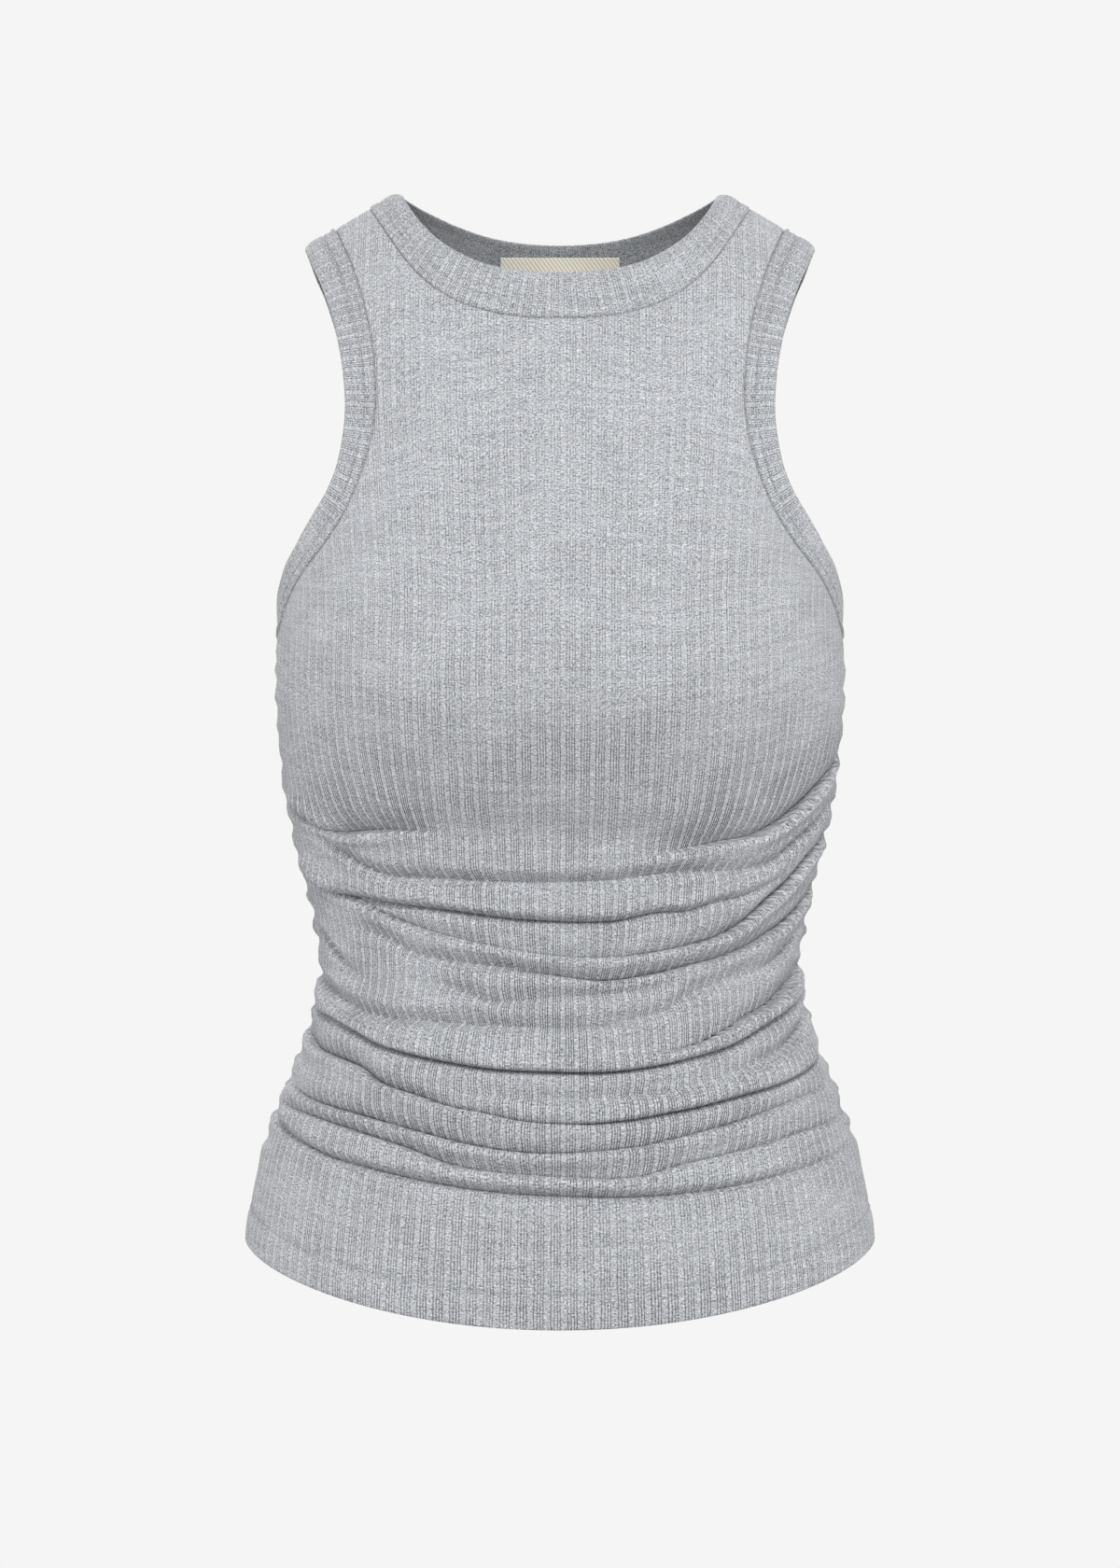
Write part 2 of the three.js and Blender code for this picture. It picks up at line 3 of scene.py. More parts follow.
import bpy
import numpy as np
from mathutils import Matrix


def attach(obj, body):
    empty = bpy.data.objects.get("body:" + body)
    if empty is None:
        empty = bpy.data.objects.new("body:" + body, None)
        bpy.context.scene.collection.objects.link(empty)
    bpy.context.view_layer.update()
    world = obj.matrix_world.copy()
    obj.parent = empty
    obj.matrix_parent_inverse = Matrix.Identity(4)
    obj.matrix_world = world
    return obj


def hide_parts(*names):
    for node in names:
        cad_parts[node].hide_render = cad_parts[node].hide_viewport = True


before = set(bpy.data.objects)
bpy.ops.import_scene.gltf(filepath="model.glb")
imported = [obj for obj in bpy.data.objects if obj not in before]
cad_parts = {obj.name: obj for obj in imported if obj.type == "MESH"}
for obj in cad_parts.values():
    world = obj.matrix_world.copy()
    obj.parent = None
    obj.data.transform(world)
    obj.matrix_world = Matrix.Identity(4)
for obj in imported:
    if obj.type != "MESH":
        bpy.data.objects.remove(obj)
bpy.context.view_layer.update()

MM = 0.001

# Camera and light
CAMERA_BACK = 2200  # millimetres from the side seams
CAMERA_HEIGHT = -279
CAMERA_LENS = 102.5
SENSOR = 36
BACKGROUND = "#f5f5f5"
FLOOR_COLOUR = "#c4c4c4"
FLOOR_HEIGHT = -900
FLOOR_RADIUS = 1200
FILL_LEVEL = 0.5  # how much of the background's light reaches the cloth
LIGHT_AIM = (0, 0, -0.3)
# Soft square lights: place and size in metres, and power in watts
LIGHTS = [
    ("key", (0.3, -2.75, 1.45), 1.1, 82),
    ("back", (-0.4, 2.6, 1.2), 1.6, 74),
    ("side_left", (2.2, -0.5, -0.1), 1.6, 22),
    ("side_right", (-2.2, -0.5, -0.1), 1.6, 25),
]

# Cloth
KNIT_WALL = 1.4
HEM_WALL = 2.2
HEM_EDGE_WALL = 1.0
LABEL_WALL = 0.8
RIB_GROUP = 7.04  # one repeat of the panels' rib
BAND_RIB_GROUP = 6.1  # the bands are cut crosswise and stretched less

# The worn form, as in the solids: height, half width, front and back depth, and fullness,
# which is 2 on an ellipse and more on a squarer front
FORM = np.array([
    (-560, 157, 109, 102, 2.2),
    (-500, 153.5, 107, 98, 2.2),
    (-455, 144.5, 103, 90, 2.2),
    (-410, 127, 95, 75, 2.1),
    (-385, 119.5, 90, 68, 2.1),
    (-360, 117.5, 87, 64, 2.1),
    (-320, 126, 90, 67, 2.2),
    (-288, 133.5, 100, 76, 2.3),
    (-234, 139, 117, 89, 2.4),
    (-190, 138.3, 113, 96, 2.4),
    (-140, 143, 99, 98, 2.4),
    (-90, 148, 80, 92, 2.4),
    (-45, 150, 62, 76, 2.4),
    (0, 150, 47, 62, 2.4),
    (40, 150, 38, 50, 2.4),
])
FRONT_DEPTH, BACK_DEPTH = 2, 3
NECK_POINT = (78.4, 12.4)
SHOULDER_SLOPE = 0.587
SHOULDER_ROUND = 75
BUST = {"x": 70, "z": -234, "rise": 7, "spread_x": 46, "spread_z": 40}  # fuller on both sides
SEAM_TOP = -208.5
BUST_LINE = -230
HEM_SIDE = -501
FRONT_HEM, BACK_HEM = -535, -526
HEM_DEPTH = 15.5
STITCH_ROWS = (14.2, 16.7)  # above the hem's edge
HEM_PUFF = {"lift": 0.35, "up": 7, "spread": 6}  # the doubled cloth stands out above its edge
HEM_PINCH = {"depth": 0.45, "spread": 0.8}  # and is pinched at each row of stitches
BAND_PINCH = {"depth": 0.5, "spread": 1.8}  # a panel dips where it is sewn to a band

# Armholes from under the arm up to the shoulder: angle and height of the band's seam, then of
# its open edge. The last row lies on the shoulder, which gives its height.
SHOULDER = None
FRONT_ARMHOLE = [
    (90, -208.5, 90, -189),
    (82, -204.5, 83, -186),
    (74, -193.5, 76.5, -178.5),
    (66, -182.5, 70, -170),
    (58.5, -172.5, 63.3, -161.5),
    (51, -161, 56.7, -150),
    (44.5, -145, 50.8, -137.5),
    (39.5, -124, 46.5, -120),
    (36.6, -100, 44.4, -99),
    (36.6, -75, 44.9, -76.5),
    (38.4, -51, 47.2, -55),
    (41.4, -30.5, 50.7, -37),
    (43.9, -19, 53.6, -27),
    (45.9, -11, 55.8, -20),
    (47.2, SHOULDER, 57.2, SHOULDER),
]
BACK_ARMHOLE = [
    (90, -208.5, 90, -189),
    (82, -205, 82.5, -186),
    (74, -195.5, 76, -178.5),
    (66, -184.5, 69.7, -169.5),
    (58.5, -174.5, 64, -160),
    (52, -161, 58.5, -148.5),
    (45.9, -144, 53.2, -134.5),
    (41.3, -123, 49.2, -117),
    (38.8, -100, 46.9, -98),
    (38.3, -76, 46.6, -77),
    (39.6, -53, 48.3, -57),
    (42.1, -32, 51.3, -38.5),
    (44.6, -19, 54.3, -27),
    (46.2, -11, 56, -20),
    (47.2, SHOULDER, 57.2, SHOULDER),
]
# Neckline from the centre out to the shoulder, in the same columns
FRONT_NECK = [
    (0, -56.7, 0, -33),
    (7, -56, 5.6, -32.5),
    (13.5, -53, 11, -30.6),
    (19.5, -47.5, 16, -26.6),
    (25, -38.5, 20.6, -20),
    (29.6, -27, 24.6, -12),
    (33.3, -15, 27.7, -3.2),
    (36.1, -5.5, 29.8, 4.4),
    (38, 0.8, 31.1, 10),
    (38.7, SHOULDER, 31.5, SHOULDER),
]
BACK_NECK = [
    (0, -26, 0, -6),
    (7, -25.5, 5.8, -5.5),
    (13.5, -23.6, 11.4, -3.8),
    (19.5, -20.2, 16.6, -0.9),
    (25, -15.4, 21.2, 2.6),
    (29.6, -10, 25, 6),
    (33.3, -5, 28, 8.8),
    (36.1, -0.8, 30, 10.8),
    (38, 2, 31.1, 11.9),
    (38.7, SHOULDER, 31.5, SHOULDER),
]
STRAP_COLUMNS = 2  # the shoulder seam, as columns of the neck table
NECK_DRAW = 1.6  # how much the rows under the neckline are held down, which spaces them evenly

# How a crease is shaped across its line, in millimetres. A tuck has a roll above that turns
# under sharply, a step has cloth that slopes in from above and a roll that starts below, and a
# dip is soft on both sides. above and below are how far the valley reaches, roll_above, roll_below
# and hang are shares of its depth, roll is how wide a roll is, and pull is how far the ribs lean
# towards the centre over the reach above the line.
KIND_FIELDS = ("above", "below", "roll_above", "roll_below", "roll", "hang", "pull", "reach", "sharp")
TUCK = dict(zip(KIND_FIELDS, (2.4, 6, 0.7, 0, 14, 0.45, 2, 9, True)))
STEP = dict(zip(KIND_FIELDS, (10, 2.4, 0, 0.5, 10, 0, 4.5, 10, True)))
DIP = dict(zip(KIND_FIELDS, (7.5, 5.5, 0.35, 0.15, 14, 0, 3.5, 9, False)))
ROLL = dict(zip(KIND_FIELDS, (5, 4, 0.6, 0, 13, 0.15, 2.5, 8, False)))
BUST_STEP = {**STEP, "above": 14, "pull": 15, "reach": 46}
UNDER_BUST = dict(zip(KIND_FIELDS, (18, 13, 0.6, 0, 80, 0, 0, 9, False)))
CREASE_DEPTH = 1.5  # scales the depths below
HANG_REACH = 12  # how far above a crease its roll sags
PULL_EDGE = 0.4  # how far below its line a crease still pulls the ribs in full
PULL_FADE = 3  # how far below a soft crease's line the pull ends
PIT_SPREAD = 2.6
DEGREE = 2.1  # millimetres to a degree round the sides

# Creases that drag across from the gathered side seams: angle, height, depth
FRONT_CREASES = {
    "side_drag": (TUCK, [
        (-90, -284, 1.4), (-80, -289, 2.2), (-70, -294.5, 2.2), (-62, -301, 1.6), (-56, -304, 0.9),
        (-46, -310, 0)]),
    "under_bust_right": (BUST_STEP, [
        (-84, -287, 0), (-72, -294, 0.9), (-60, -301, 2.2), (-52, -303, 3.4), (-44, -302.5, 2.8),
        (-36, -302, 1.4), (-26, -302, 0)]),
    "under_bust_left": (BUST_STEP, [
        (90, -262, 0), (84, -266, 1.4), (75, -276, 3.2), (67, -284, 3.8), (58, -294, 4),
        (52, -300, 3.6), (45, -305, 3), (38, -307, 2.4), (29, -310, 1.4), (22, -312, 0.7),
        (14, -314, 0)]),
    "under_bust_middle": (UNDER_BUST, [
        (-52, -303, 0), (-36, -302, 0.9), (-15, -301.5, 1.4), (0, -302, 1.5), (15, -304, 1.4),
        (30, -307, 0.8), (46, -310, 0)]),
    "second": (DIP, [
        (-70, -300, 0), (-60, -307, 1.2), (-50, -317, 2), (-41, -323, 2.2), (-31, -324, 2.4),
        (-4, -326, 2.8), (10, -325, 2.6), (27, -321, 2.2), (44, -320, 1.8), (53, -317, 2),
        (61, -308, 2.4), (71, -298, 2.4), (80, -288, 0.6)]),
    "third_side": (TUCK, [
        (-90, -312, 1.6), (-82, -318, 3), (-75, -322, 3.6), (-66, -328, 3.4), (-58, -333, 1.8),
        (-50, -337, 0)]),
    "third": (ROLL, [
        (-66, -327, 0), (-58, -331, 2.2), (-46, -335, 2.4), (-36, -337, 2.8), (-26, -339, 3),
        (-9, -343, 3.2), (11, -344, 3), (22, -340, 2.6), (31, -339, 2.2), (37, -335, 2),
        (44, -333, 1.6), (52, -328, 1.2), (60, -322, 0)]),
    "fourth": (STEP, [
        (-66, -328, 0), (-55, -334, 1.6), (-39, -345, 1.8), (-21, -354, 1.3), (1, -361, 1.3),
        (14, -361, 1.6), (23, -359, 2.2), (29, -357, 2.6), (39, -353, 3.2), (48, -346, 3.8),
        (54, -338, 4), (62, -329, 4), (71, -317, 3.6), (80, -309, 2.6), (88, -303, 1.2)]),
    "side_dimple_right": (DIP, [
        (-82, -348, 0), (-73, -356, 2.2), (-66, -363, 2.2), (-59, -369, 1.4), (-50, -373, 0)]),
    "fifth_right": (DIP, [
        (-58, -347, 0), (-45, -352, 1.6), (-36, -360, 1.8), (-27, -363, 2.2), (-15, -365, 2.2),
        (-6, -367, 1.2), (2, -369, 0)]),
    "fifth": (STEP, [
        (-18, -366, 0), (-8, -368, 2), (0, -370, 2.8), (8, -372, 3.4), (14, -371.5, 3.4),
        (23, -369, 3.2), (33, -365, 2.6), (41, -362, 2.4), (49, -358, 2.6), (58, -352, 3),
        (66, -347, 3.2), (76, -338, 2.8), (84, -330, 1.8), (90, -326, 0.8)]),
    "sixth": (DIP, [
        (-38, -370, 0), (-29, -374, 1.4), (-21, -378, 2), (-15, -382, 2.2), (-9, -381, 1.8),
        (-1, -380, 1.6), (11, -378, 1.5), (20, -376, 1), (28, -373, 0)]),
    "seventh": (DIP, [
        (-90, -371, 1.4), (-80, -376, 2.4), (-68, -380, 3.2), (-60, -384, 3.4), (-54, -387, 3),
        (-44, -390, 2.6), (-32, -391, 2.6), (-12, -393, 2.6), (-1, -394, 2.4), (10, -393, 2.2),
        (19, -389, 2), (25, -386, 2.2), (30, -380, 2), (39, -374, 1.7), (45, -371, 1.5),
        (52, -369, 1.3), (60, -366, 2), (68, -360, 2.4), (74, -354, 2), (80, -346, 0)]),
    "eighth_left": (STEP, [
        (90, -366, 1.4), (80, -371, 3), (67, -378, 3.9), (58, -384, 3.9), (49, -389, 3.3),
        (41, -395, 2.8), (30, -402, 2.2), (21, -405, 1.2), (10, -407, 0)]),
    "eighth": (TUCK, [
        (-90, -386, 1.8), (-78, -389, 2.6), (-65, -391, 3), (-52, -397, 3.6), (-44, -402, 4),
        (-34, -406, 4.2), (-25, -409, 4.2), (-14, -412, 4.2), (-4, -413, 4.2), (10, -413.5, 3.8),
        (21, -411, 3.4), (29, -408, 3.2), (40, -403, 3), (53, -394, 2.8), (63, -388, 2.8),
        (78, -380, 2.6), (90, -374, 1.2)]),
    "ninth_side": (DIP, [
        (90, -386, 1), (80, -393, 2.8), (72, -398, 3.4), (65, -402, 3.2), (55, -408, 2.4),
        (45, -413, 1.6), (36, -417, 1), (26, -420, 0)]),
    "ninth_middle": (DIP, [
        (-26, -423, 0), (-12, -426, 1.4), (0, -427, 1.7), (12, -426, 1.7), (24, -423, 1.2),
        (34, -420, 0)]),
    "ninth_right": (STEP, [
        (-90, -397, 1.2), (-80, -402, 2.8), (-70, -407, 3.4), (-59, -410, 3.8), (-49, -414, 3.8),
        (-41, -421, 3.6), (-31, -426, 3.2), (-23, -431, 2.9), (-15, -434, 2.6), (-8, -437, 2.2),
        (-1, -438, 1.6), (9, -438.5, 0)]),
    "ninth_left": (TUCK, [
        (-16, -438, 0), (-6, -438.5, 1.2), (5, -438, 2.4), (14, -436, 3.1), (22, -433, 3.5),
        (30, -430, 3.7), (40, -426, 3.7), (52, -422, 3.4), (63, -418, 3), (75, -414, 2), (88, -409, 1)]),
    "tenth": (STEP, [
        (-84, -424, 0), (-72, -428, 1.8), (-62, -431, 2.6), (-55, -433, 3), (-45, -436, 3.3),
        (-33, -441, 3.5), (-25, -445, 3.3), (-17, -449, 3.1), (-8, -452, 2.9), (1, -452.5, 2.7),
        (14, -450, 2.5), (21, -447, 2.5), (29, -443, 2.5), (38, -439, 2.5), (48, -434, 2.2),
        (58, -430, 1.6), (68, -427, 1), (78, -424, 0)]),
    "eleventh": (STEP, [
        (-84, -434, 0), (-72, -436, 1.6), (-60, -438.5, 2.2), (-45, -443.5, 2.5), (-31, -450.7, 2.7),
        (-22, -457.5, 2.8), (-14, -461, 2.7), (0, -463.5, 2.5), (14, -464, 2.2), (23, -458.6, 2),
        (33, -454.3, 1.9), (43, -450.4, 1.8), (54, -446, 1.6), (66, -443, 1.4), (76, -441, 1),
        (88, -439, 0.6)]),
    "lowest": (ROLL, [
        (-88, -438, 1), (-82, -441, 1.8), (-70, -446.5, 2.2), (-59, -451.4, 2.5), (-50, -456, 2.7),
        (-40, -459.8, 2.8), (-26, -465.6, 2.8), (-14, -469.5, 2.7), (-7, -471, 2.7), (9, -472.5, 2.7),
        (20, -472, 2.5), (33, -469, 2.2), (45, -465, 1.8), (60, -460, 1.2), (75, -456, 0.6),
        (86, -453, 0)]),
}

# Small deep puckers by the side seams: angle, height, depth
FRONT_PITS = [(-86, -452, 1.8), (-83, -392, 1.6), (-77, -399, 1.5), (84, -450, 1.8), (86, -461, 1.6),
              (80, -428, 1.3)]

# The back's creases, which hang between the seams: height at the right seam, in the middle and
# at the left seam, depths there, and how far the line wanders
BACK_FOLDS = [
    ("back_first", STEP, (-283, -306, -282), (2.6, 1, 2.8), 3),
    ("back_second", DIP, (-297, -319, -299), (2, 2.4, 2), -4),
    ("back_third", TUCK, (-309, -332, -311), (2.8, 3, 3), 2.5),
    ("back_fourth", STEP, (-330, -352, -334), (3.4, 2.2, 3.4), -3),
    ("back_fifth", DIP, (-341, -362, -345), (2, 2.2, 1.8), 4),
    ("back_sixth", TUCK, (-352, -373, -353), (3, 3.6, 2.8), 3),
    ("back_seventh", STEP, (-373, -392, -377), (3, 2.8, 3.4), -3.5),
    ("back_eighth", TUCK, (-392, -410, -396), (3.2, 3.8, 3.2), 2.5),
    ("back_ninth", DIP, (-402, -420, -405), (2.2, 1.8, 2.4), -3),
    ("back_tenth", STEP, (-411, -429, -415), (3.2, 2.4, 3.4), 3),
    ("back_eleventh", TUCK, (-429, -446, -432), (2.8, 3.2, 2.8), -2.5),
    ("back_twelfth", STEP, (-438, -456, -442), (2, 2.4, 2), 3),
    ("back_lowest", ROLL, (-448, -466, -451), (2, 2.8, 1.8), -2),
]
# Shorter creases between them: angle, height, depth
BACK_CREASES = {
    "back_short_right": (STEP, [
        (-90, -320, 1.6), (-74, -327, 2.8), (-58, -335, 2.4), (-44, -341, 0)]),
    "back_short_left": (STEP, [
        (90, -362, 1.6), (76, -367, 2.8), (60, -373, 2.4), (42, -380, 0)]),
    "back_short_middle": (DIP, [
        (-34, -381, 0), (-16, -383, 1.8), (4, -384, 2), (26, -382, 0)]),
    "back_low_right": (DIP, [
        (-90, -420, 1.4), (-72, -425, 2.2), (-56, -431, 1.8), (-38, -437, 0)]),
}
BACK_PITS = [(-85, -455, 1.7), (-84, -425, 1.5), (85, -457, 1.7), (82, -403, 1.5)]

# Puckers where the side seams are gathered: height and depth of each trough
RIGHT_PUCKERS = [(-219, 1.2), (-229, 1.8), (-243, 1.6), (-256, 0.8), (-268, 1.2), (-285, 1.9),
                 (-299, 1.3), (-313, 2.2), (-328, 1), (-341, 1.5), (-355, 1.2), (-371, 1.8),
                 (-386, 2.3), (-397, 1.6), (-410, 1.4), (-424, 1.6), (-438, 2), (-452, 1.5)]
LEFT_PUCKERS = [(-217, 1.1), (-231, 1.7), (-246, 1.3), (-262, 1.9), (-275, 1.1), (-289, 1.7),
                (-304, 2.2), (-318, 1.2), (-329, 1.8), (-345, 1.3), (-358, 1.3), (-368, 2.2),
                (-376, 1.8), (-388, 1.9), (-410, 1.8), (-424, 1.1), (-438, 1.7), (-449, 1.4)]
PUCKER_HALF_WIDTH = 5.5
PUCKER_REACH = 12  # degrees over which a pucker dies out
PUCKER_RISE = 0.9  # how far the cloth between two puckers stands out
GATHERS_END = -470  # the height below which the side seams are plain
GATHERS_FADE = {"top": 12, "end": 14}  # heights over which the gathers start and stop
# Creases flatten towards a side seam and again right at it: degrees, and share of their depth
SIDE_CALM = {"reach": 11, "share": 0.55}
SEAM_CALM = {"reach": 2.2, "share": 0.5}
SEAM_GROOVE = {"reach": 0.9, "depth": 0.8, "fade": 8}  # the seam lies below the cloth beside it
# The back's creases wander in slow waves: degrees between their points, radians a point in the
# wave of the line and in that of the depth, and how much the depth swings
HUNG = {"step": 15, "line_turn": 1.9, "depth_turn": 2.3, "swing": 0.22}

FRONT = {"facing": -1, "depth": FRONT_DEPTH, "armhole": FRONT_ARMHOLE, "neck": FRONT_NECK,
         "hem": FRONT_HEM}
BACK = {"facing": 1, "depth": BACK_DEPTH, "armhole": BACK_ARMHOLE, "neck": BACK_NECK,
        "hem": BACK_HEM}


MIRROR = np.array([-1, 1, 1])


def mix(a, b, share):
    return a + (b - a) * share


def ease(value):
    value = np.clip(value, 0, 1)
    return value ** 2 * (3 - 2 * value)


def curve(xs, ys, at):
    """A smooth curve through points with rising xs, worked out at every value of at."""
    xs, ys = np.asarray(xs, float), np.asarray(ys, float)
    low = np.clip(np.searchsorted(xs, at, side="right") - 1, 0, len(xs) - 2)
    high = low + 1
    before, after = np.maximum(low - 1, 0), np.minimum(high + 1, len(xs) - 1)
    step = xs[high] - xs[low]
    share = np.clip((at - xs[low]) / step, 0, 1)
    start = (ys[high] - ys[before]) / (xs[high] - xs[before]) * step
    end = (ys[after] - ys[low]) / (xs[after] - xs[low]) * step
    rise = ys[high] - ys[low]
    bend = 3 * rise - 2 * start - end
    return ys[low] + share * start + share ** 2 * bend + share ** 3 * (start + end - 2 * rise)


def bell(distance, spread):
    """1 where the distance is 0, falling smoothly to 0 at about twice the spread."""
    return np.exp(-((distance / spread) ** 2))


def unit(vectors):
    return vectors / np.maximum(np.linalg.norm(vectors, axis=-1, keepdims=True), 1e-9)


def form_at(z, column):
    return curve(FORM[:, 0], FORM[:, column], z)


def shoulder_at(x):
    return NECK_POINT[1] + SHOULDER_SLOPE * (NECK_POINT[0] - np.abs(x))


def shoulder_height(angle):
    """The height at which an angle meets the shoulder."""
    z = np.zeros_like(np.asarray(angle, float))
    for _ in range(8):
        z = shoulder_at(form_at(z, 1) * np.sin(np.radians(angle)))
    return z


def body_point(panel, angle, z):
    """The worn form without folds."""
    angle, z = np.broadcast_arrays(np.asarray(angle, float), np.asarray(z, float))
    sine = np.sin(np.radians(angle))
    x = form_at(z, 1) * sine
    below = np.clip((shoulder_at(x) - z) / SHOULDER_ROUND, 0, 1)
    shoulder = np.sqrt(1 - (1 - below) ** 2)
    bend = np.sqrt(np.clip(1 - np.abs(sine) ** form_at(z, 4), 0, 1))
    depth = form_at(z, panel["depth"]) * bend * shoulder
    if panel is FRONT:
        full = bell(np.abs(x) - BUST["x"], BUST["spread_x"]) * bell(z - BUST["z"], BUST["spread_z"])
        depth = depth + BUST["rise"] * full * bend
    return np.stack([x, panel["facing"] * depth, z], axis=-1)


def outward(panel, angle, z, step=0.5):
    """Directions out of the form."""
    right = body_point(panel, np.clip(angle + step, -90, 90), z)
    left = body_point(panel, np.clip(angle - step, -90, 90), z)
    high, low = body_point(panel, angle, z + step), body_point(panel, angle, z - step)
    return unit(np.cross(right - left, high - low)) * -panel["facing"]


def climb(angle):
    """0 in the middle of a panel and 1 at its side seams, on the line that hanging cloth takes."""
    turn = np.radians(angle)
    return (1 - np.cos(turn)) / 2 + np.sin(turn) ** 2 / 2


def hung_path(heights, depths, wander):
    """Points of a crease that hangs between the side seams."""
    path = []
    for i, angle in enumerate(range(-90, 91, HUNG["step"])):
        side = 0 if angle < 0 else 2
        z = mix(heights[1], heights[side], climb(angle))
        z += wander * math.sin(i * HUNG["line_turn"] + heights[1]) * (1 - abs(angle) / 90)
        depth = mix(depths[1], depths[side], abs(angle) / 90)
        depth *= 1 + HUNG["swing"] * math.sin(i * HUNG["depth_turn"] + heights[0])
        path.append((angle, z, depth))
    return path


FRONT["creases"] = FRONT_CREASES
FRONT["pits"] = FRONT_PITS
BACK["creases"] = BACK_CREASES | {
    name: (kind, hung_path(heights, depths, wander)) for name, kind, heights, depths, wander in BACK_FOLDS
}
BACK["pits"] = BACK_PITS


def crease_line(path, angle):
    """Height and depth of a crease at each angle. Its depth is 0 past its ends."""
    path = sorted(path)
    angles = [point[0] for point in path]
    z = curve(angles, [point[1] for point in path], angle)
    depth = np.interp(angle, angles, [point[2] for point in path], left=0, right=0)
    return z, depth


def hump(share):
    """A rounded roll: 0 at both ends, and highest a quarter of the way along."""
    share = np.clip(share, 0, 1)
    return np.sin(np.pi * np.sqrt(share)) ** 2


def valley(share, sharp):
    share = np.clip(share, 0, 1)
    return (1 - share) ** 2 if sharp else (1 - share ** 2) ** 2


def fold_moves(panel, angle, z):
    """How far the creases lift the cloth, drop it, and pull its ribs towards the centre."""
    lift, drop, pull = np.zeros_like(z), np.zeros_like(z), np.zeros_like(z)
    for kind, path in panel["creases"].values():
        line, depth = crease_line(path, angle)
        depth = depth * CREASE_DEPTH
        over = z - line
        reach = np.where(over > 0, kind["above"], kind["below"])
        lift -= depth * valley(np.abs(over) / reach, kind["sharp"])
        lift += depth * kind["roll_above"] * hump(over / kind["roll"])
        lift += depth * kind["roll_below"] * hump(-over / kind["roll"])
        drop += depth * kind["hang"] * hump(over / HANG_REACH)
        deepest = CREASE_DEPTH * max(point[2] for point in path)
        below = 0 if kind["sharp"] else 1 + over / PULL_FADE
        lean = np.where(over > -PULL_EDGE, 1 - over / kind["reach"], below)
        pull += kind["pull"] * depth / deepest * np.clip(lean, 0, 1) ** 2
    for at_angle, at_z, depth in panel["pits"]:
        lift -= depth * bell((angle - at_angle) * DEGREE, PIT_SPREAD) * bell(z - at_z, PIT_SPREAD)
    return lift, drop, pull * np.sin(np.radians(np.clip(2 * angle, -90, 90)))


def pucker_lift(angle, z):
    """The gathers along a side seam, shared by the front and the back."""
    lift = np.zeros_like(z)
    for side, puckers in ((-1, RIGHT_PUCKERS), (1, LEFT_PUCKERS)):
        for at_z, depth in puckers:
            trough = valley(np.abs(z - at_z) / PUCKER_HALF_WIDTH, False)
            lift -= np.where(np.sign(angle) == side, depth * trough, 0)
    start = ease((SEAM_TOP - z) / GATHERS_FADE["top"])
    end = ease((z - GATHERS_END) / GATHERS_FADE["end"])
    return (lift + PUCKER_RISE) * bell(90 - np.abs(angle), PUCKER_REACH) * start * end


# Grids of the panels

FOLDS_LOW = (-462, -489)  # side and middle height below the lowest crease
FOLDS_HIGH = (-268, -293)  # and above the highest
# Heights of rows above the hem's edge, close together at its stitches
HEM_ROWS = (0, 0.5, 1.5, 4, 7, 10, 12, 13.2, 14.2, 15.4, 16.7, 17.7, 19, 21)
LOW_ROWS, FOLD_ROWS, RISE_ROWS = 9, 216, 13  # rows below, through and above the folds
ROWS_PER_STEP = 4
STRAP_ROWS = 8
COLUMNS_PER_STEP = 7
EDGE_COLUMNS = (0.984, 0.994)  # two more columns beside each edge, as shares of the half width
SNAP_DEPTH = 0.4  # a row is moved onto a crisp crease where it is deeper than this


def body_rows(panel):
    """Side and middle heights of the rows, from the hem up to under the arms."""
    rows = [(HEM_SIDE + up, panel["hem"] + up) for up in HEM_ROWS]
    for end, count in ((FOLDS_LOW, LOW_ROWS), (FOLDS_HIGH, FOLD_ROWS), ((SEAM_TOP, BUST_LINE), RISE_ROWS)):
        start = rows[-1]
        for i in range(1, count + 1):
            rows.append((mix(start[0], end[0], i / count), mix(start[1], end[1], i / count)))
    return np.array(rows)


def table_curve(table, column, at):
    """A column of an edge table, smooth past its first row, where the other half mirrors it."""
    ys = [row[column] for row in table]
    if ys[-1] is SHOULDER:
        ys[-1] = float(shoulder_height(table[-1][column - 1]))
    turned = column % 2 == 0  # an angle, which goes on past the first row
    ys = [2 * ys[0] - ys[1] if turned else ys[1]] + ys
    return curve(np.arange(-1, len(table)), ys, at)


def column_shares(panel):
    """Places of the columns across a panel, from -1 at one edge to 1 at the other."""
    half = (len(panel["neck"]) - 1 + STRAP_COLUMNS) * COLUMNS_PER_STEP
    shares = np.sort(np.concatenate([np.arange(half + 1) / half, EDGE_COLUMNS]))
    return np.concatenate([-shares[:0:-1], shares])


def top_edge(panel, shares):
    """Angle and height of the panel's top edge: the neck seam, then the shoulder seam."""
    neck = len(panel["neck"]) - 1
    column = np.abs(shares) * (neck + STRAP_COLUMNS)
    on_neck = column <= neck + 1e-6
    angle, z = [table_curve(panel["neck"], i, np.minimum(column, neck)) for i in (0, 1)]
    corner, end = panel["neck"][-1][0], panel["armhole"][-1][0]
    angle = np.where(on_neck, angle, mix(corner, end, (column - neck) / STRAP_COLUMNS))
    return angle, np.where(on_neck, z, shoulder_height(angle))


def armhole_steps(panel):
    """Places in the armhole table, closer together near the shoulder, where the cloth turns over."""
    last = len(panel["armhole"]) - 1
    steps = list(np.arange(1, (last - 1) * ROWS_PER_STEP + 1) / ROWS_PER_STEP)
    steps += [last - (1 - i / STRAP_ROWS) ** 2 for i in range(1, STRAP_ROWS + 1)]
    return np.array(steps)


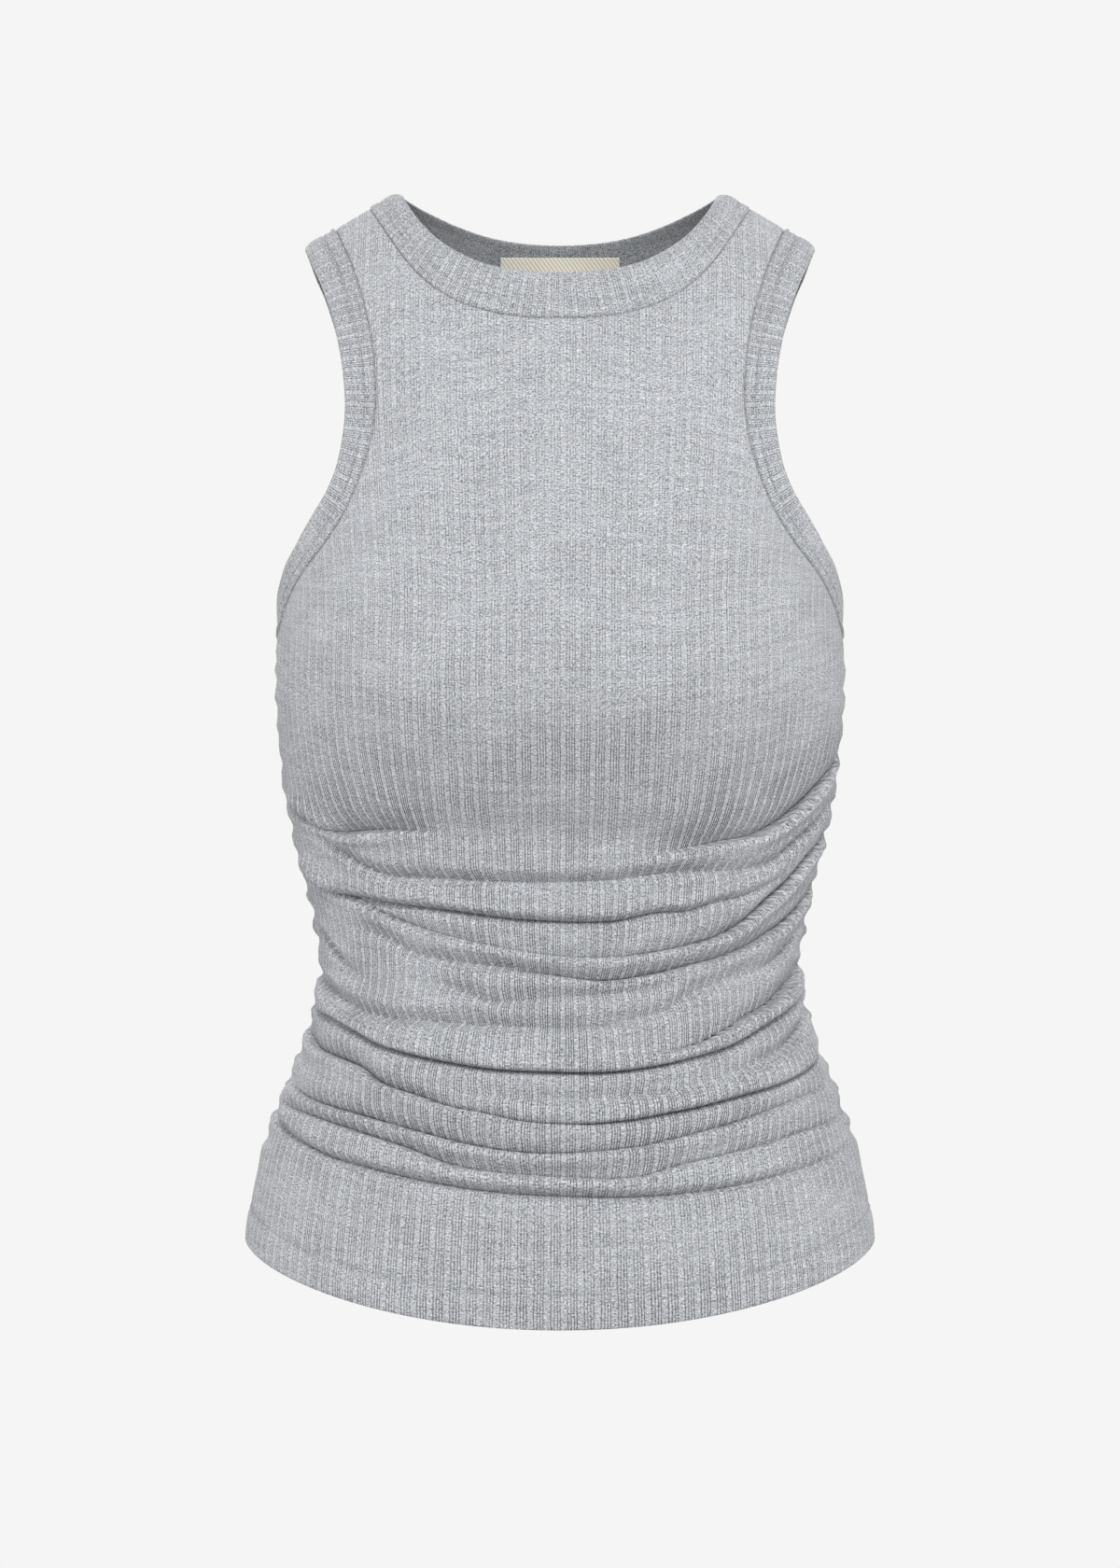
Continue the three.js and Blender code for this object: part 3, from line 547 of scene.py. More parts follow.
def panel_places(panel):
    """Angle and height of every point of a panel's grid, from the hem up."""
    shares = column_shares(panel)
    rows = body_rows(panel)
    angle = np.broadcast_to(90 * shares, (len(rows), len(shares)))
    low = mix(rows[:, 1:], rows[:, :1], climb(90 * shares)[None, :])
    top_angle, top_z = top_edge(panel, shares)
    corner = panel["armhole"][-1][0]
    shoulder_z = float(shoulder_height(corner))
    steps = armhole_steps(panel)
    seam_angle = table_curve(panel["armhole"], 0, steps)[:, None]
    seam_z = table_curve(panel["armhole"], 1, steps)[:, None]
    height = (seam_z - SEAM_TOP) / (shoulder_z - SEAM_TOP)
    half = len(panel["neck"]) - 1 + STRAP_COLUMNS
    inwards = np.clip((1 - np.abs(shares)) * half / STRAP_COLUMNS, 0, 1)[None, :]
    drawn = height - NECK_DRAW * inwards * (1 - height) * height ** 4
    spread = mix(np.abs(shares)[None, :], (top_angle / corner)[None, :], drawn)
    high_angle = np.sign(shares)[None, :] * spread * seam_angle
    high_z = mix(low[-1][None, :], top_z[None, :], drawn)
    return np.vstack([angle, high_angle]), np.vstack([low, high_z])


def snap_rows(panel, angle, z):
    """Moves the nearest row onto each crisp crease, so that its line is clean."""
    for kind, path in panel["creases"].values():
        if not kind["sharp"]:
            continue
        line, depth = crease_line(path, angle[0])
        row = np.abs(z - line[None, :]).argmin(axis=0)
        for column in np.flatnonzero(depth > SNAP_DEPTH):
            r = row[column]
            shift = line[column] - z[r, column]
            z[r - 1:r + 2, column] += shift * np.array([0.5, 1, 0.5])
    return z


def along(points, axis):
    """Distance from the start along an axis of a grid of points."""
    steps = np.linalg.norm(np.diff(points, axis=axis), axis=-1)
    start = np.zeros_like(np.take(steps, [0], axis=axis))
    return np.concatenate([start, np.cumsum(steps, axis=axis)], axis=axis)


def rib_distance(panel, angle):
    """Distance round the bust from the centre line to an angle: the ribs run at a constant one."""
    angles = np.linspace(-90, 90, 361)
    section = body_point(panel, angles, np.full_like(angles, BUST["z"]))
    distance = along(section, 0)
    centre = len(angles) // 2
    return np.interp(angle, angles, distance - distance[centre])


# How open the rib is at each height: it is drawn flat over the chest and stands out where the
# cloth is slack. A crease that pulls the ribs opens them further. The same level sets how dark the
# painted shade in the grooves is, so the cloth is painted darker under the bust and on the slopes
# above creases, where shade falls.
RIB_OPEN_AND_GROOVE_SHADE = [(-535, 1.15), (-480, 0.95), (-460, 1.15), (-330, 1.15), (-300, 1.1), (-262, 1.05),
            (-235, 0.85), (-205, 0.7), (-120, 0.6), (20, 0.6)]
BAND_RIB_OPEN_AND_GROOVE_SHADE = 1.0
PULL_OPENS_AND_SHADES = 0.75
FULL_PULL = 2.5  # millimetres of pull that open the ribs nearly all they can


def rib_open_and_groove_shade(z, pull):
    level = np.interp(z, [row[0] for row in RIB_OPEN_AND_GROOVE_SHADE], [row[1] for row in RIB_OPEN_AND_GROOVE_SHADE])
    return level + PULL_OPENS_AND_SHADES * np.tanh(np.abs(pull) / FULL_PULL)


def hem_height(panel, angle):
    return mix(panel["hem"], HEM_SIDE, climb(angle))


def hem_lift(panel, angle, z):
    """The turned-up hem stands out a little and is pinched at its two rows of stitches."""
    up = z - hem_height(panel, angle)
    puff = HEM_PUFF["lift"] * bell(up - HEM_PUFF["up"], HEM_PUFF["spread"])
    pinch = sum(bell(up - row, HEM_PINCH["spread"]) for row in STITCH_ROWS)
    return puff - HEM_PINCH["depth"] * pinch


def worn_point(panel, angle, z):
    """The folded cloth's middle at an angle and a height, its outward direction, and its pull."""
    lift, drop, pull = fold_moves(panel, angle, z)
    to_seam = 90 - np.abs(angle)
    for calm in (SIDE_CALM, SEAM_CALM):
        lift = lift * (1 - calm["share"] * bell(to_seam, calm["reach"]))
    fade = SEAM_GROOVE["fade"]
    groove = SEAM_GROOVE["depth"] * bell(to_seam, SEAM_GROOVE["reach"])
    lift = lift - groove * ease((SEAM_TOP + fade / 2 - z) / fade)
    lift = lift + pucker_lift(angle, z) + hem_lift(panel, angle, z)
    outwards = outward(panel, angle, z)
    points = body_point(panel, angle, z) + outwards * lift[..., None]
    points[..., 2] -= drop * (1 - bell(to_seam, SIDE_CALM["reach"]))
    return points, outwards, pull


# Meshes

WELD_DISTANCE = 2e-6  # metres


def deselect():
    bpy.ops.object.select_all(action="DESELECT")


def cloth_grid(name, points, uv, materials, rib=None):
    """A grid primitive whose points are moved to their places on the cloth, both in millimetres."""
    rows, columns = points.shape[:2]
    deselect()
    bpy.ops.mesh.primitive_grid_add(x_subdivisions=columns - 1, y_subdivisions=rows - 1, size=2)
    piece = bpy.context.object
    piece.name = piece.data.name = name
    mesh = piece.data
    flat = np.empty(len(mesh.vertices) * 3)
    mesh.vertices.foreach_get("co", flat)
    flat = flat.reshape(-1, 3)
    column = np.rint((flat[:, 0] + 1) / 2 * (columns - 1)).astype(int)
    row = np.rint((flat[:, 1] + 1) / 2 * (rows - 1)).astype(int)
    mesh.vertices.foreach_set("co", (points[row, column] * MM).ravel())
    corners = np.empty(len(mesh.loops), dtype=int)
    mesh.loops.foreach_get("vertex_index", corners)
    mesh.uv_layers[0].name = "cloth"
    mesh.uv_layers[0].data.foreach_set("uv", (uv[row, column][corners] * MM).ravel())
    if rib is not None:
        mesh.attributes.new("rib", "FLOAT", "POINT").data.foreach_set("value", rib[row, column])
    for material in materials:
        mesh.materials.append(material)
    mesh.update()
    return piece, row


def apply_modifier(piece, kind, **settings):
    bpy.context.view_layer.objects.active = piece
    modifier = piece.modifiers.new(kind.title(), kind)
    for key, value in settings.items():
        setattr(modifier, key, value)
    bpy.ops.object.modifier_apply(modifier=modifier.name)


def smooth(piece, degrees=60):
    deselect()
    piece.select_set(True)
    bpy.context.view_layer.objects.active = piece
    bpy.ops.object.shade_smooth_by_angle(angle=math.radians(degrees))


def weld(piece):
    """Joins the ends of a ring and points its faces outwards."""
    deselect()
    piece.select_set(True)
    bpy.context.view_layer.objects.active = piece
    bpy.ops.object.mode_set(mode="EDIT")
    bpy.ops.mesh.select_all(action="SELECT")
    bpy.ops.mesh.remove_doubles(threshold=WELD_DISTANCE)
    bpy.ops.mesh.normals_make_consistent(inside=False)
    bpy.ops.object.mode_set(mode="OBJECT")


def finish_piece(piece, slot, *nodes):
    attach(piece, "root")
    if nodes:
        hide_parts(*nodes)


def edge_sink(points, side_rows):
    """How far each point of a panel dips towards the bands. The first rows end at a side seam."""
    to_band = np.linalg.norm(points - points[-1:], axis=-1)
    for end in (points[:, :1], points[:, -1:]):
        to_end = np.linalg.norm(points - end, axis=-1)
        to_band[side_rows:] = np.minimum(to_band, to_end)[side_rows:]
    return BAND_PINCH["depth"] * bell(to_band, BAND_PINCH["spread"])


def make_panel(name, panel, node, materials):
    angle, z = panel_places(panel)
    z = snap_rows(panel, angle, z)
    points, outwards, pull = worn_point(panel, angle, z)
    points -= outwards * edge_sink(points, len(body_rows(panel)))[..., None]
    u = rib_distance(panel, angle) + pull
    v = along(body_point(panel, angle, z), 0)
    rib = rib_open_and_groove_shade(z, pull)
    if panel is BACK:
        points, u, v, rib = points[:, ::-1], u[:, ::-1], v[:, ::-1], rib[:, ::-1]
    piece, row = cloth_grid(name, points, np.stack([u, v], axis=-1), materials, rib)
    wall = piece.vertex_groups.new(name="wall")
    hem = len([up for up in HEM_ROWS if up <= HEM_DEPTH])
    for first, last, thickness in ((0, 1, HEM_EDGE_WALL), (1, hem, HEM_WALL), (hem, len(z), KNIT_WALL)):
        members = np.flatnonzero((row >= first) & (row < last)).tolist()
        wall.add(members, thickness / HEM_WALL, "REPLACE")
    apply_modifier(piece, "SOLIDIFY", thickness=HEM_WALL * MM, offset=0, vertex_group="wall",
                   material_offset=1, material_offset_rim=0)
    smooth(piece)
    finish_piece(piece, "rib_knit", node)
    return piece


# Bands

# Across a band, from its seam to its folded edge and back inside: share of its width, and
# height off the form in millimetres. A lip lies behind the panel's edge.
TURNED_IN = [(0.7, -1.2), (0.5, -1.2), (0.3, -1.2), (0.12, -1.25), (0.0, -1.45), (-0.1, -1.5)]
NECK_PROFILE = [
    (-0.11, -1.0), (-0.02, -0.95), (0.015, -0.8), (0.035, 0.3), (0.06, 0.95), (0.12, 1.3), (0.2, 1.3),
    (0.28, 1.15), (0.33, 0.95), (0.355, 0.6), (0.38, 0.95), (0.44, 1.2), (0.56, 1.35), (0.7, 1.4),
    (0.82, 1.35), (0.91, 1.15), (0.965, 0.75), (0.992, 0.3), (1.0, -0.1), (0.985, -0.6), (0.95, -0.95),
    (0.86, -1.15),
] + TURNED_IN
ARMHOLE_PROFILE = [
    (-0.11, -1.0), (-0.02, -0.95), (0.012, -0.8), (0.03, 0.4), (0.05, 1.2), (0.085, 1.5), (0.12, 1.3),
    (0.15, 0.6), (0.2, 0.65), (0.27, 0.95), (0.32, 0.95), (0.35, 0.4), (0.38, 0.95), (0.44, 1.15),
    (0.58, 1.3), (0.72, 1.32), (0.84, 1.2), (0.92, 1.0), (0.968, 0.65), (0.992, 0.25), (1.0, -0.1),
    (0.985, -0.55), (0.95, -0.9), (0.86, -1.1),
] + TURNED_IN
# A band's edge rolls down this far where it lies on the shoulder, from a share of its width on
BANDS = {
    "neck": {"profile": NECK_PROFILE, "edge_roll": 3.4},
    "armhole": {"profile": ARMHOLE_PROFILE, "edge_roll": 1.8},
}
ROLL_START = 0.62
BAND_WAVES = ((0.12, 9, 0), (0.1, 4.3, 1))  # a sewn band is a little uneven: height, length, start
BAND_STITCHES = {"share": 0.355, "height": 0.75}  # across the width, and off the form
HALF_RING = 130  # crossings from the middle of a table to the shoulder


def ring_steps(table, count):
    """Places in an edge table from its first row to the shoulder, closer together there."""
    return (len(table) - 1) * np.sin(np.pi / 2 * np.arange(count + 1) / count)


def crossing_places(panel, table, steps, share):
    """Points of the form across a band: one row for each share, one column for each step."""
    columns = [table_curve(table, column, steps)[None, :] for column in range(4)]
    share = np.asarray(share)[:, None]
    angle = mix(columns[0], columns[2], share)
    z = mix(columns[1], columns[3], share)
    return body_point(panel, angle, np.minimum(z, shoulder_height(angle)))


def band_base(kind, share):
    """The form under a band, all the way round: front from shoulder to shoulder, then back."""
    front, back = [
        crossing_places(panel, panel[kind], ring_steps(panel[kind], HALF_RING), share)
        for panel in (FRONT, BACK)
    ]
    if kind == "armhole":
        return np.concatenate([front[:, ::-1], back[:, 1:-1], front[:, -1:]], axis=1)
    right_front, right_back = front * MIRROR, back * MIRROR
    return np.concatenate(
        [right_front[:, :0:-1], front, back[:, -2:0:-1], right_back[:, :-1], right_front[:, -1:]], axis=1
    )


def band_frame(kind):
    """Distance along the middle of a band, and outward directions there."""
    edges = band_base(kind, [0.0, 1.0])
    length = along(mix(edges[:1], edges[1:], 0.5), 1)
    open_ring = edges[:1, :-1]
    forward = np.roll(open_ring, -1, axis=1) - np.roll(open_ring, 1, axis=1)
    forward = np.concatenate([forward, forward[:, :1]], axis=1)
    return length, unit(np.cross(forward, edges[1:] - edges[:1]))


def make_band(name, kind, node, materials, side=1):
    profile = BANDS[kind]["profile"]
    shares, heights = np.array(profile + profile[:1]).T
    length, normals = band_frame(kind)
    wave = sum(high * np.sin(length / long + start) for high, long, start in BAND_WAVES)
    rolled = np.clip((shares - ROLL_START) / (1 - ROLL_START), 0, 1)[:, None] ** 2
    rolled = BANDS[kind]["edge_roll"] * rolled * normals[..., 2] ** 2
    height = heights[:, None] + wave * (heights > 0)[:, None] - rolled
    points = band_base(kind, shares) + normals * height[..., None]
    u = np.broadcast_to(length, points.shape[:2])
    v = np.broadcast_to(along(points, 0), points.shape[:2])
    if side < 0:
        points = points * MIRROR
    rib = np.full(u.shape, BAND_RIB_OPEN_AND_GROOVE_SHADE)
    piece, row = cloth_grid(name, points, np.stack([u, v], axis=-1), materials, rib)
    corners = np.empty(len(piece.data.loops), dtype=int)
    piece.data.loops.foreach_get("vertex_index", corners)
    turned_in = row[corners].reshape(-1, 4).min(axis=1) > shares.argmax()
    piece.data.polygons.foreach_set("material_index", turned_in.astype(int))
    weld(piece)
    smooth(piece)
    finish_piece(piece, "rib_knit", node)
    return piece


# Label

# The tape hangs inside the back and bulges a little in the middle
LABEL = {"width": 61, "top": -11.5, "bottom": -46, "columns": 60, "rows": 34, "inset": 2.3,
         "bulge": 1.1, "bulge_height": 33}


def make_label(material):
    z = np.linspace(LABEL["bottom"], LABEL["top"], LABEL["rows"] + 1)[:, None]
    x = np.linspace(LABEL["width"] / 2, -LABEL["width"] / 2, LABEL["columns"] + 1)[None, :]
    z, x = np.broadcast_arrays(z, x)
    angle = np.degrees(np.arcsin(x / form_at(z, 1)))
    up = (z - LABEL["bottom"]) / LABEL["bulge_height"]
    inset = LABEL["inset"] + LABEL["bulge"] * np.cos(np.pi * x / LABEL["width"]) * np.sin(np.pi * up)
    points = body_point(BACK, angle, z) - outward(BACK, angle, z) * inset[..., None]
    uv = np.stack([-x, z], axis=-1)
    piece, _ = cloth_grid("neck_label_tape", points[:, ::-1], uv[:, ::-1], [material])
    apply_modifier(piece, "SOLIDIFY", thickness=LABEL_WALL * MM, offset=0)
    apply_modifier(piece, "BEVEL", width=0.2 * MM, segments=2, limit_method="ANGLE",
                   angle_limit=math.radians(50))
    smooth(piece, 50)
    finish_piece(piece, "label_tape", "neck_label")
    return piece


# Stitches

STITCH = {"pitch": 2.9, "length": 2.3, "thick": 0.5, "sunk": 0.08}


def one_stitch():
    """A short length of thread, as points and faces, along X."""
    deselect()
    bpy.ops.mesh.primitive_uv_sphere_add(segments=6, ring_count=4, radius=0.5)
    bead = bpy.context.object
    points = np.array([vertex.co for vertex in bead.data.vertices])[:, [2, 0, 1]]
    faces = [list(face.vertices) for face in bead.data.polygons]
    bpy.data.objects.remove(bead)
    return points * np.array([STITCH["length"], STITCH["thick"], STITCH["thick"]]), faces


def stitch_places(line, normals):
    """Middles, directions and outward directions of stitches, evenly spaced along a line."""
    distance = along(line, 0)
    count = int(distance[-1] / STITCH["pitch"])
    middles = (np.arange(count) + 0.5) * STITCH["pitch"]

    def at(values, where):
        return np.stack([np.interp(where, distance, values[:, i]) for i in range(3)], axis=-1)

    forward = unit(at(line, middles + 0.5) - at(line, middles - 0.5))
    return at(line, middles), forward, unit(at(normals, middles))


def sew(name, rows, material):
    points, faces = one_stitch()
    all_points, all_faces = [], []
    for line, normals in rows:
        for middle, forward, outwards in zip(*stitch_places(line, normals)):
            sideways = np.cross(outwards, forward)
            turn = np.stack([forward, sideways, outwards])
            start = len(all_points) * len(points)
            all_points.append(middle + outwards * -STITCH["sunk"] + points @ turn)
            all_faces += [[start + corner for corner in face] for face in faces]
    mesh = bpy.data.meshes.new(name)
    mesh.from_pydata((np.concatenate(all_points) * MM).tolist(), [], all_faces)
    piece = bpy.data.objects.new(name, mesh)
    bpy.context.collection.objects.link(piece)
    mesh.materials.append(material)
    smooth(piece, 80)
    finish_piece(piece, "rib_knit")
    return piece


def hem_line(panel, up):
    """A row of stitches along the hem, on the cloth's outside, nearly from seam to seam."""
    angle = np.linspace(-89, 89, 300)
    points, outwards, _ = worn_point(panel, angle, hem_height(panel, angle) + up)
    return points + outwards * (HEM_WALL / 2), outwards


def band_line(kind, side=1):
    """The row of stitches round a band."""
    normals = band_frame(kind)[1][0]
    line = band_base(kind, [BAND_STITCHES["share"]])[0] + normals * BAND_STITCHES["height"]
    flip = np.array([side, 1, 1])
    return line * flip, normals * flip


# Materials

def linear(colour):
    """An sRGB hex colour as linear red, green, blue and alpha."""
    parts = [int(colour[i:i + 2], 16) / 255 for i in (1, 3, 5)]
    return (*[c / 12.92 if c <= 0.04045 else ((c + 0.055) / 1.055) ** 2.4 for c in parts], 1)


def add_node(tree, kind, inputs=None, output=0, stops=(), **settings):
    """Adds a node and gives one of its outputs. An input is a value, or an output that is linked
    to it. The stops of a colour ramp are places and grey levels."""
    node = tree.nodes.new(kind)
    for key, value in settings.items():
        setattr(node, key, value)
    for key, value in (inputs or {}).items():
        if isinstance(value, bpy.types.NodeSocket):
            tree.links.new(value, node.inputs[key])
        else:
            node.inputs[key].default_value = value
    while stops and len(node.color_ramp.elements) < len(stops):
        node.color_ramp.elements.new(0.5)
    for i, (place, level) in enumerate(stops):
        node.color_ramp.elements[i].position = place
        node.color_ramp.elements[i].color = (level, level, level, 1)
    return node.outputs[output]


MATH, RAMP, MIX = "ShaderNodeMath", "ShaderNodeValToRGB", "ShaderNodeMix"
MAPPING, NOISE = "ShaderNodeMapping", "ShaderNodeTexNoise"
TO_MM = (1000, 1000, 1000)  # patterns are scaled in millimetres


def new_material(name, **shader_settings):
    material = bpy.data.materials.new(name)
    material.use_nodes = True
    shader = material.node_tree.nodes["Principled BSDF"]
    for key, value in shader_settings.items():
        shader.inputs[key.replace("_", " ")].default_value = value
    return material, material.node_tree


def surface(tree, colour, height=None, relief=0.0):
    """Gives a material its colour and, where it has a height, its relief in millimetres."""
    shader = tree.nodes["Principled BSDF"]
    tree.links.new(colour, shader.inputs["Base Color"])
    if height:
        bump = add_node(tree, "ShaderNodeBump", {"Height": height, "Strength": 1.0, "Distance": relief * MM})
        tree.links.new(bump, shader.inputs["Normal"])


# One rib group across: place in the repeat and height of the knit. A plain band, then three
# narrow wales with grooves between them.
RIB_PROFILE = [
    (0.0, 0.0), (0.035, 0.7), (0.08, 0.95), (0.24, 0.86), (0.36, 0.95), (0.415, 0.7), (0.45, 0.0),
    (0.485, 0.75), (0.52, 1.0), (0.58, 1.0), (0.615, 0.75), (0.65, 0.05), (0.685, 0.75), (0.72, 1.0),
    (0.765, 1.0), (0.80, 0.75), (0.835, 0.05), (0.87, 0.75), (0.90, 1.0), (0.94, 1.0), (0.967, 0.75),
    (1.0, 0.0),
]
# Uneven patterns in the knit: millimetres across and along the ribs, detail, roughness, offset.
# A fibre is a fiftieth of a millimetre thick, too fine to show, so the streaks and specks of
# mixed fibres are drawn coarser, from half a millimetre up.
KNIT_NOISES = {
    "waver": (11, 14, 1.0, 0.5, 0.0),
    "streak": (2.4, 0.55, 3.0, 0.6, 3.1),
    "speck": (0.8, 0.75, 2.0, 0.6, 7.7),
    "cloud": (19, 3.0, 3.0, 0.6, 11.3),
    "slack": (38, 30, 2.0, 0.5, 5.5),
}
NOISE_SPREAD = [(0.3, 0.0), (0.7, 1.0)]  # noise keeps near its middle, so it is stretched
SLACK_SPREAD = [(0.35, 0.55), (0.65, 1.0)]
FIBRE_SHARES = {"streak": 0.34, "speck": 0.54, "cloud": 0.12}
FIBRE_CONTRAST = 1.9
RIB_WAVER = 0.9  # how far a rib wanders sideways, in millimetres
SPECK_RELIEF = 0.2  # a speck's height beside a rib's


def knit_material(name, light, dark, group, rib_shade, relief):
    """Ribbed heather jersey: pale and dark fibres in one yarn give short streaks along the
    courses, and the grooves between the wales are painted darker, as painted shade, in thin lines."""
    material, tree = new_material(name, Roughness=0.9, Specular_IOR_Level=0.2, Sheen_Weight=0.12,
                                  Sheen_Roughness=0.55)
    uv = add_node(tree, "ShaderNodeUVMap", uv_map="cloth")
    place = add_node(tree, MAPPING, {"Vector": uv, "Scale": TO_MM})
    noises = {}
    for key, (across, along_rib, detail, rough, offset) in KNIT_NOISES.items():
        scaled = add_node(tree, MAPPING, {"Vector": place, "Scale": (1 / across, 1 / along_rib, 1),
                                          "Location": (offset, offset * 1.7, 0)})
        noises[key] = add_node(tree, NOISE, {"Vector": scaled, "Scale": 1.0, "Detail": detail,
                                             "Roughness": rough})

    # The ribs run at constant distances across, and waver a little
    across = add_node(tree, "ShaderNodeSeparateXYZ", {0: place})
    waver = add_node(tree, MATH, {0: noises["waver"], 1: 0.5}, operation="SUBTRACT")
    across = add_node(tree, MATH, {0: waver, 1: RIB_WAVER, 2: across}, operation="MULTIPLY_ADD")
    groups = add_node(tree, MATH, {0: across, 1: group}, operation="DIVIDE")
    repeat = add_node(tree, MATH, {0: groups}, operation="FRACT")
    rib = add_node(tree, RAMP, {"Fac": repeat}, stops=RIB_PROFILE)

    # Where the cloth is slack the ribs open, which deepens their grooves; the same amount darkens the
    # grooves' colour with painted shade
    slack = add_node(tree, RAMP, {"Fac": noises["slack"]}, stops=SLACK_SPREAD)
    opening_and_groove_shade = add_node(tree, "ShaderNodeAttribute", output="Fac", attribute_name="rib")
    opening_and_groove_shade = add_node(tree, MATH, {0: opening_and_groove_shade, 1: slack}, operation="MULTIPLY")
    groove = add_node(tree, MATH, {0: 1.0, 1: rib}, operation="SUBTRACT")
    groove = add_node(tree, MATH, {0: groove, 1: opening_and_groove_shade}, operation="MULTIPLY")
    shade = add_node(tree, MATH, {0: groove, 1: -rib_shade, 2: 1.0}, operation="MULTIPLY_ADD")

    # Streaks, specks and faint clouds of pale and dark fibres
    fibre = (1 - FIBRE_CONTRAST) / 2
    for key, share in FIBRE_SHARES.items():
        noises[key] = add_node(tree, RAMP, {"Fac": noises[key]}, stops=NOISE_SPREAD)
        fibre = add_node(tree, MATH, {0: noises[key], 1: share * FIBRE_CONTRAST, 2: fibre},
                         operation="MULTIPLY_ADD")
    colour = add_node(tree, MIX, {"Factor": fibre, "A": linear(dark), "B": linear(light)},
                      output="Result", data_type="RGBA")
    # The groove darkening is painted shade, multiplied into the fibre colour
    colour = add_node(tree, MIX, {"Factor": 1.0, "A": colour, "B": shade},
                      output="Result", data_type="RGBA", blend_type="MULTIPLY")
    height = add_node(tree, MATH, {0: rib, 1: opening_and_groove_shade}, operation="MULTIPLY")
    height = add_node(tree, MATH, {0: noises["speck"], 1: SPECK_RELIEF, 2: height},
                      operation="MULTIPLY_ADD")
    surface(tree, colour, height, relief)
    return material


# Millimetres between ridges, drawn coarser than real so that they show, their slant in degrees
# and their height
TWILL = {"spacing": 1.7, "slant": 38, "relief": 0.12}
THREAD_TWIST = 900.0  # strands a metre, drawn coarser than real


def tape_material():
    """Woven cotton tape: a fine diagonal twill, so pale slanting ridges with thin shadows."""
    material, tree = new_material("woven_cotton_twill_tape", Roughness=0.8, Specular_IOR_Level=0.3,
                                  Sheen_Weight=0.1)
    uv = add_node(tree, "ShaderNodeUVMap", uv_map="cloth")
    slant = (0, 0, math.radians(TWILL["slant"]))
    turned = add_node(tree, MAPPING, {"Vector": uv, "Rotation": slant, "Scale": TO_MM})
    across = add_node(tree, "ShaderNodeSeparateXYZ", {0: turned})
    ridges = add_node(tree, MATH, {0: across, 1: TWILL["spacing"]}, operation="DIVIDE")
    repeat = add_node(tree, MATH, {0: ridges}, operation="FRACT")
    ridge = add_node(tree, RAMP, {"Fac": repeat}, stops=[(0.0, 0.1), (0.3, 0.95), (0.6, 1.0), (1.0, 0.1)])
    colour = add_node(tree, MIX, {"Factor": ridge, "A": linear("#aeaa98"), "B": linear("#dfdbcc")},
                      output="Result", data_type="RGBA")
    surface(tree, colour, ridge, TWILL["relief"])
    return material


def thread_material():
    """Spun polyester thread, dyed to match: smoother and a little darker than the knit."""
    material, tree = new_material("spun_polyester_thread", Roughness=0.65, Specular_IOR_Level=0.35,
                                  Sheen_Weight=0.1)
    place = add_node(tree, "ShaderNodeTexCoord", output="Object")
    twist = add_node(tree, NOISE, {"Vector": place, "Scale": THREAD_TWIST, "Detail": 1.0})
    colour = add_node(tree, MIX, {"Factor": twist, "A": linear("#85888c"), "B": linear("#b4b7bb")},
                      output="Result", data_type="RGBA")
    surface(tree, colour)
    return material


# Camera, light and floor

def make_camera():
    data = bpy.data.cameras.new("camera")
    data.lens, data.sensor_width = CAMERA_LENS, SENSOR
    data.clip_start, data.clip_end = 0.1, 20
    camera = bpy.data.objects.new("camera", data)
    camera.location = (0, -CAMERA_BACK * MM, CAMERA_HEIGHT * MM)
    camera.rotation_euler = (math.radians(90), 0, 0)
    bpy.context.collection.objects.link(camera)
    bpy.context.scene.camera = camera


def area_light(name, place, size, watts):
    data = bpy.data.lights.new(name, "AREA")
    data.shape, data.size, data.energy = "SQUARE", size, watts
    lamp = bpy.data.objects.new(name, data)
    lamp.location = place
    aim = np.array(LIGHT_AIM) - np.array(place)
    yaw = math.atan2(aim[0], -aim[1])
    pitch = math.atan2(math.hypot(aim[0], aim[1]), -aim[2])
    lamp.rotation_euler = (pitch, 0, yaw + math.pi)
    bpy.context.collection.objects.link(lamp)


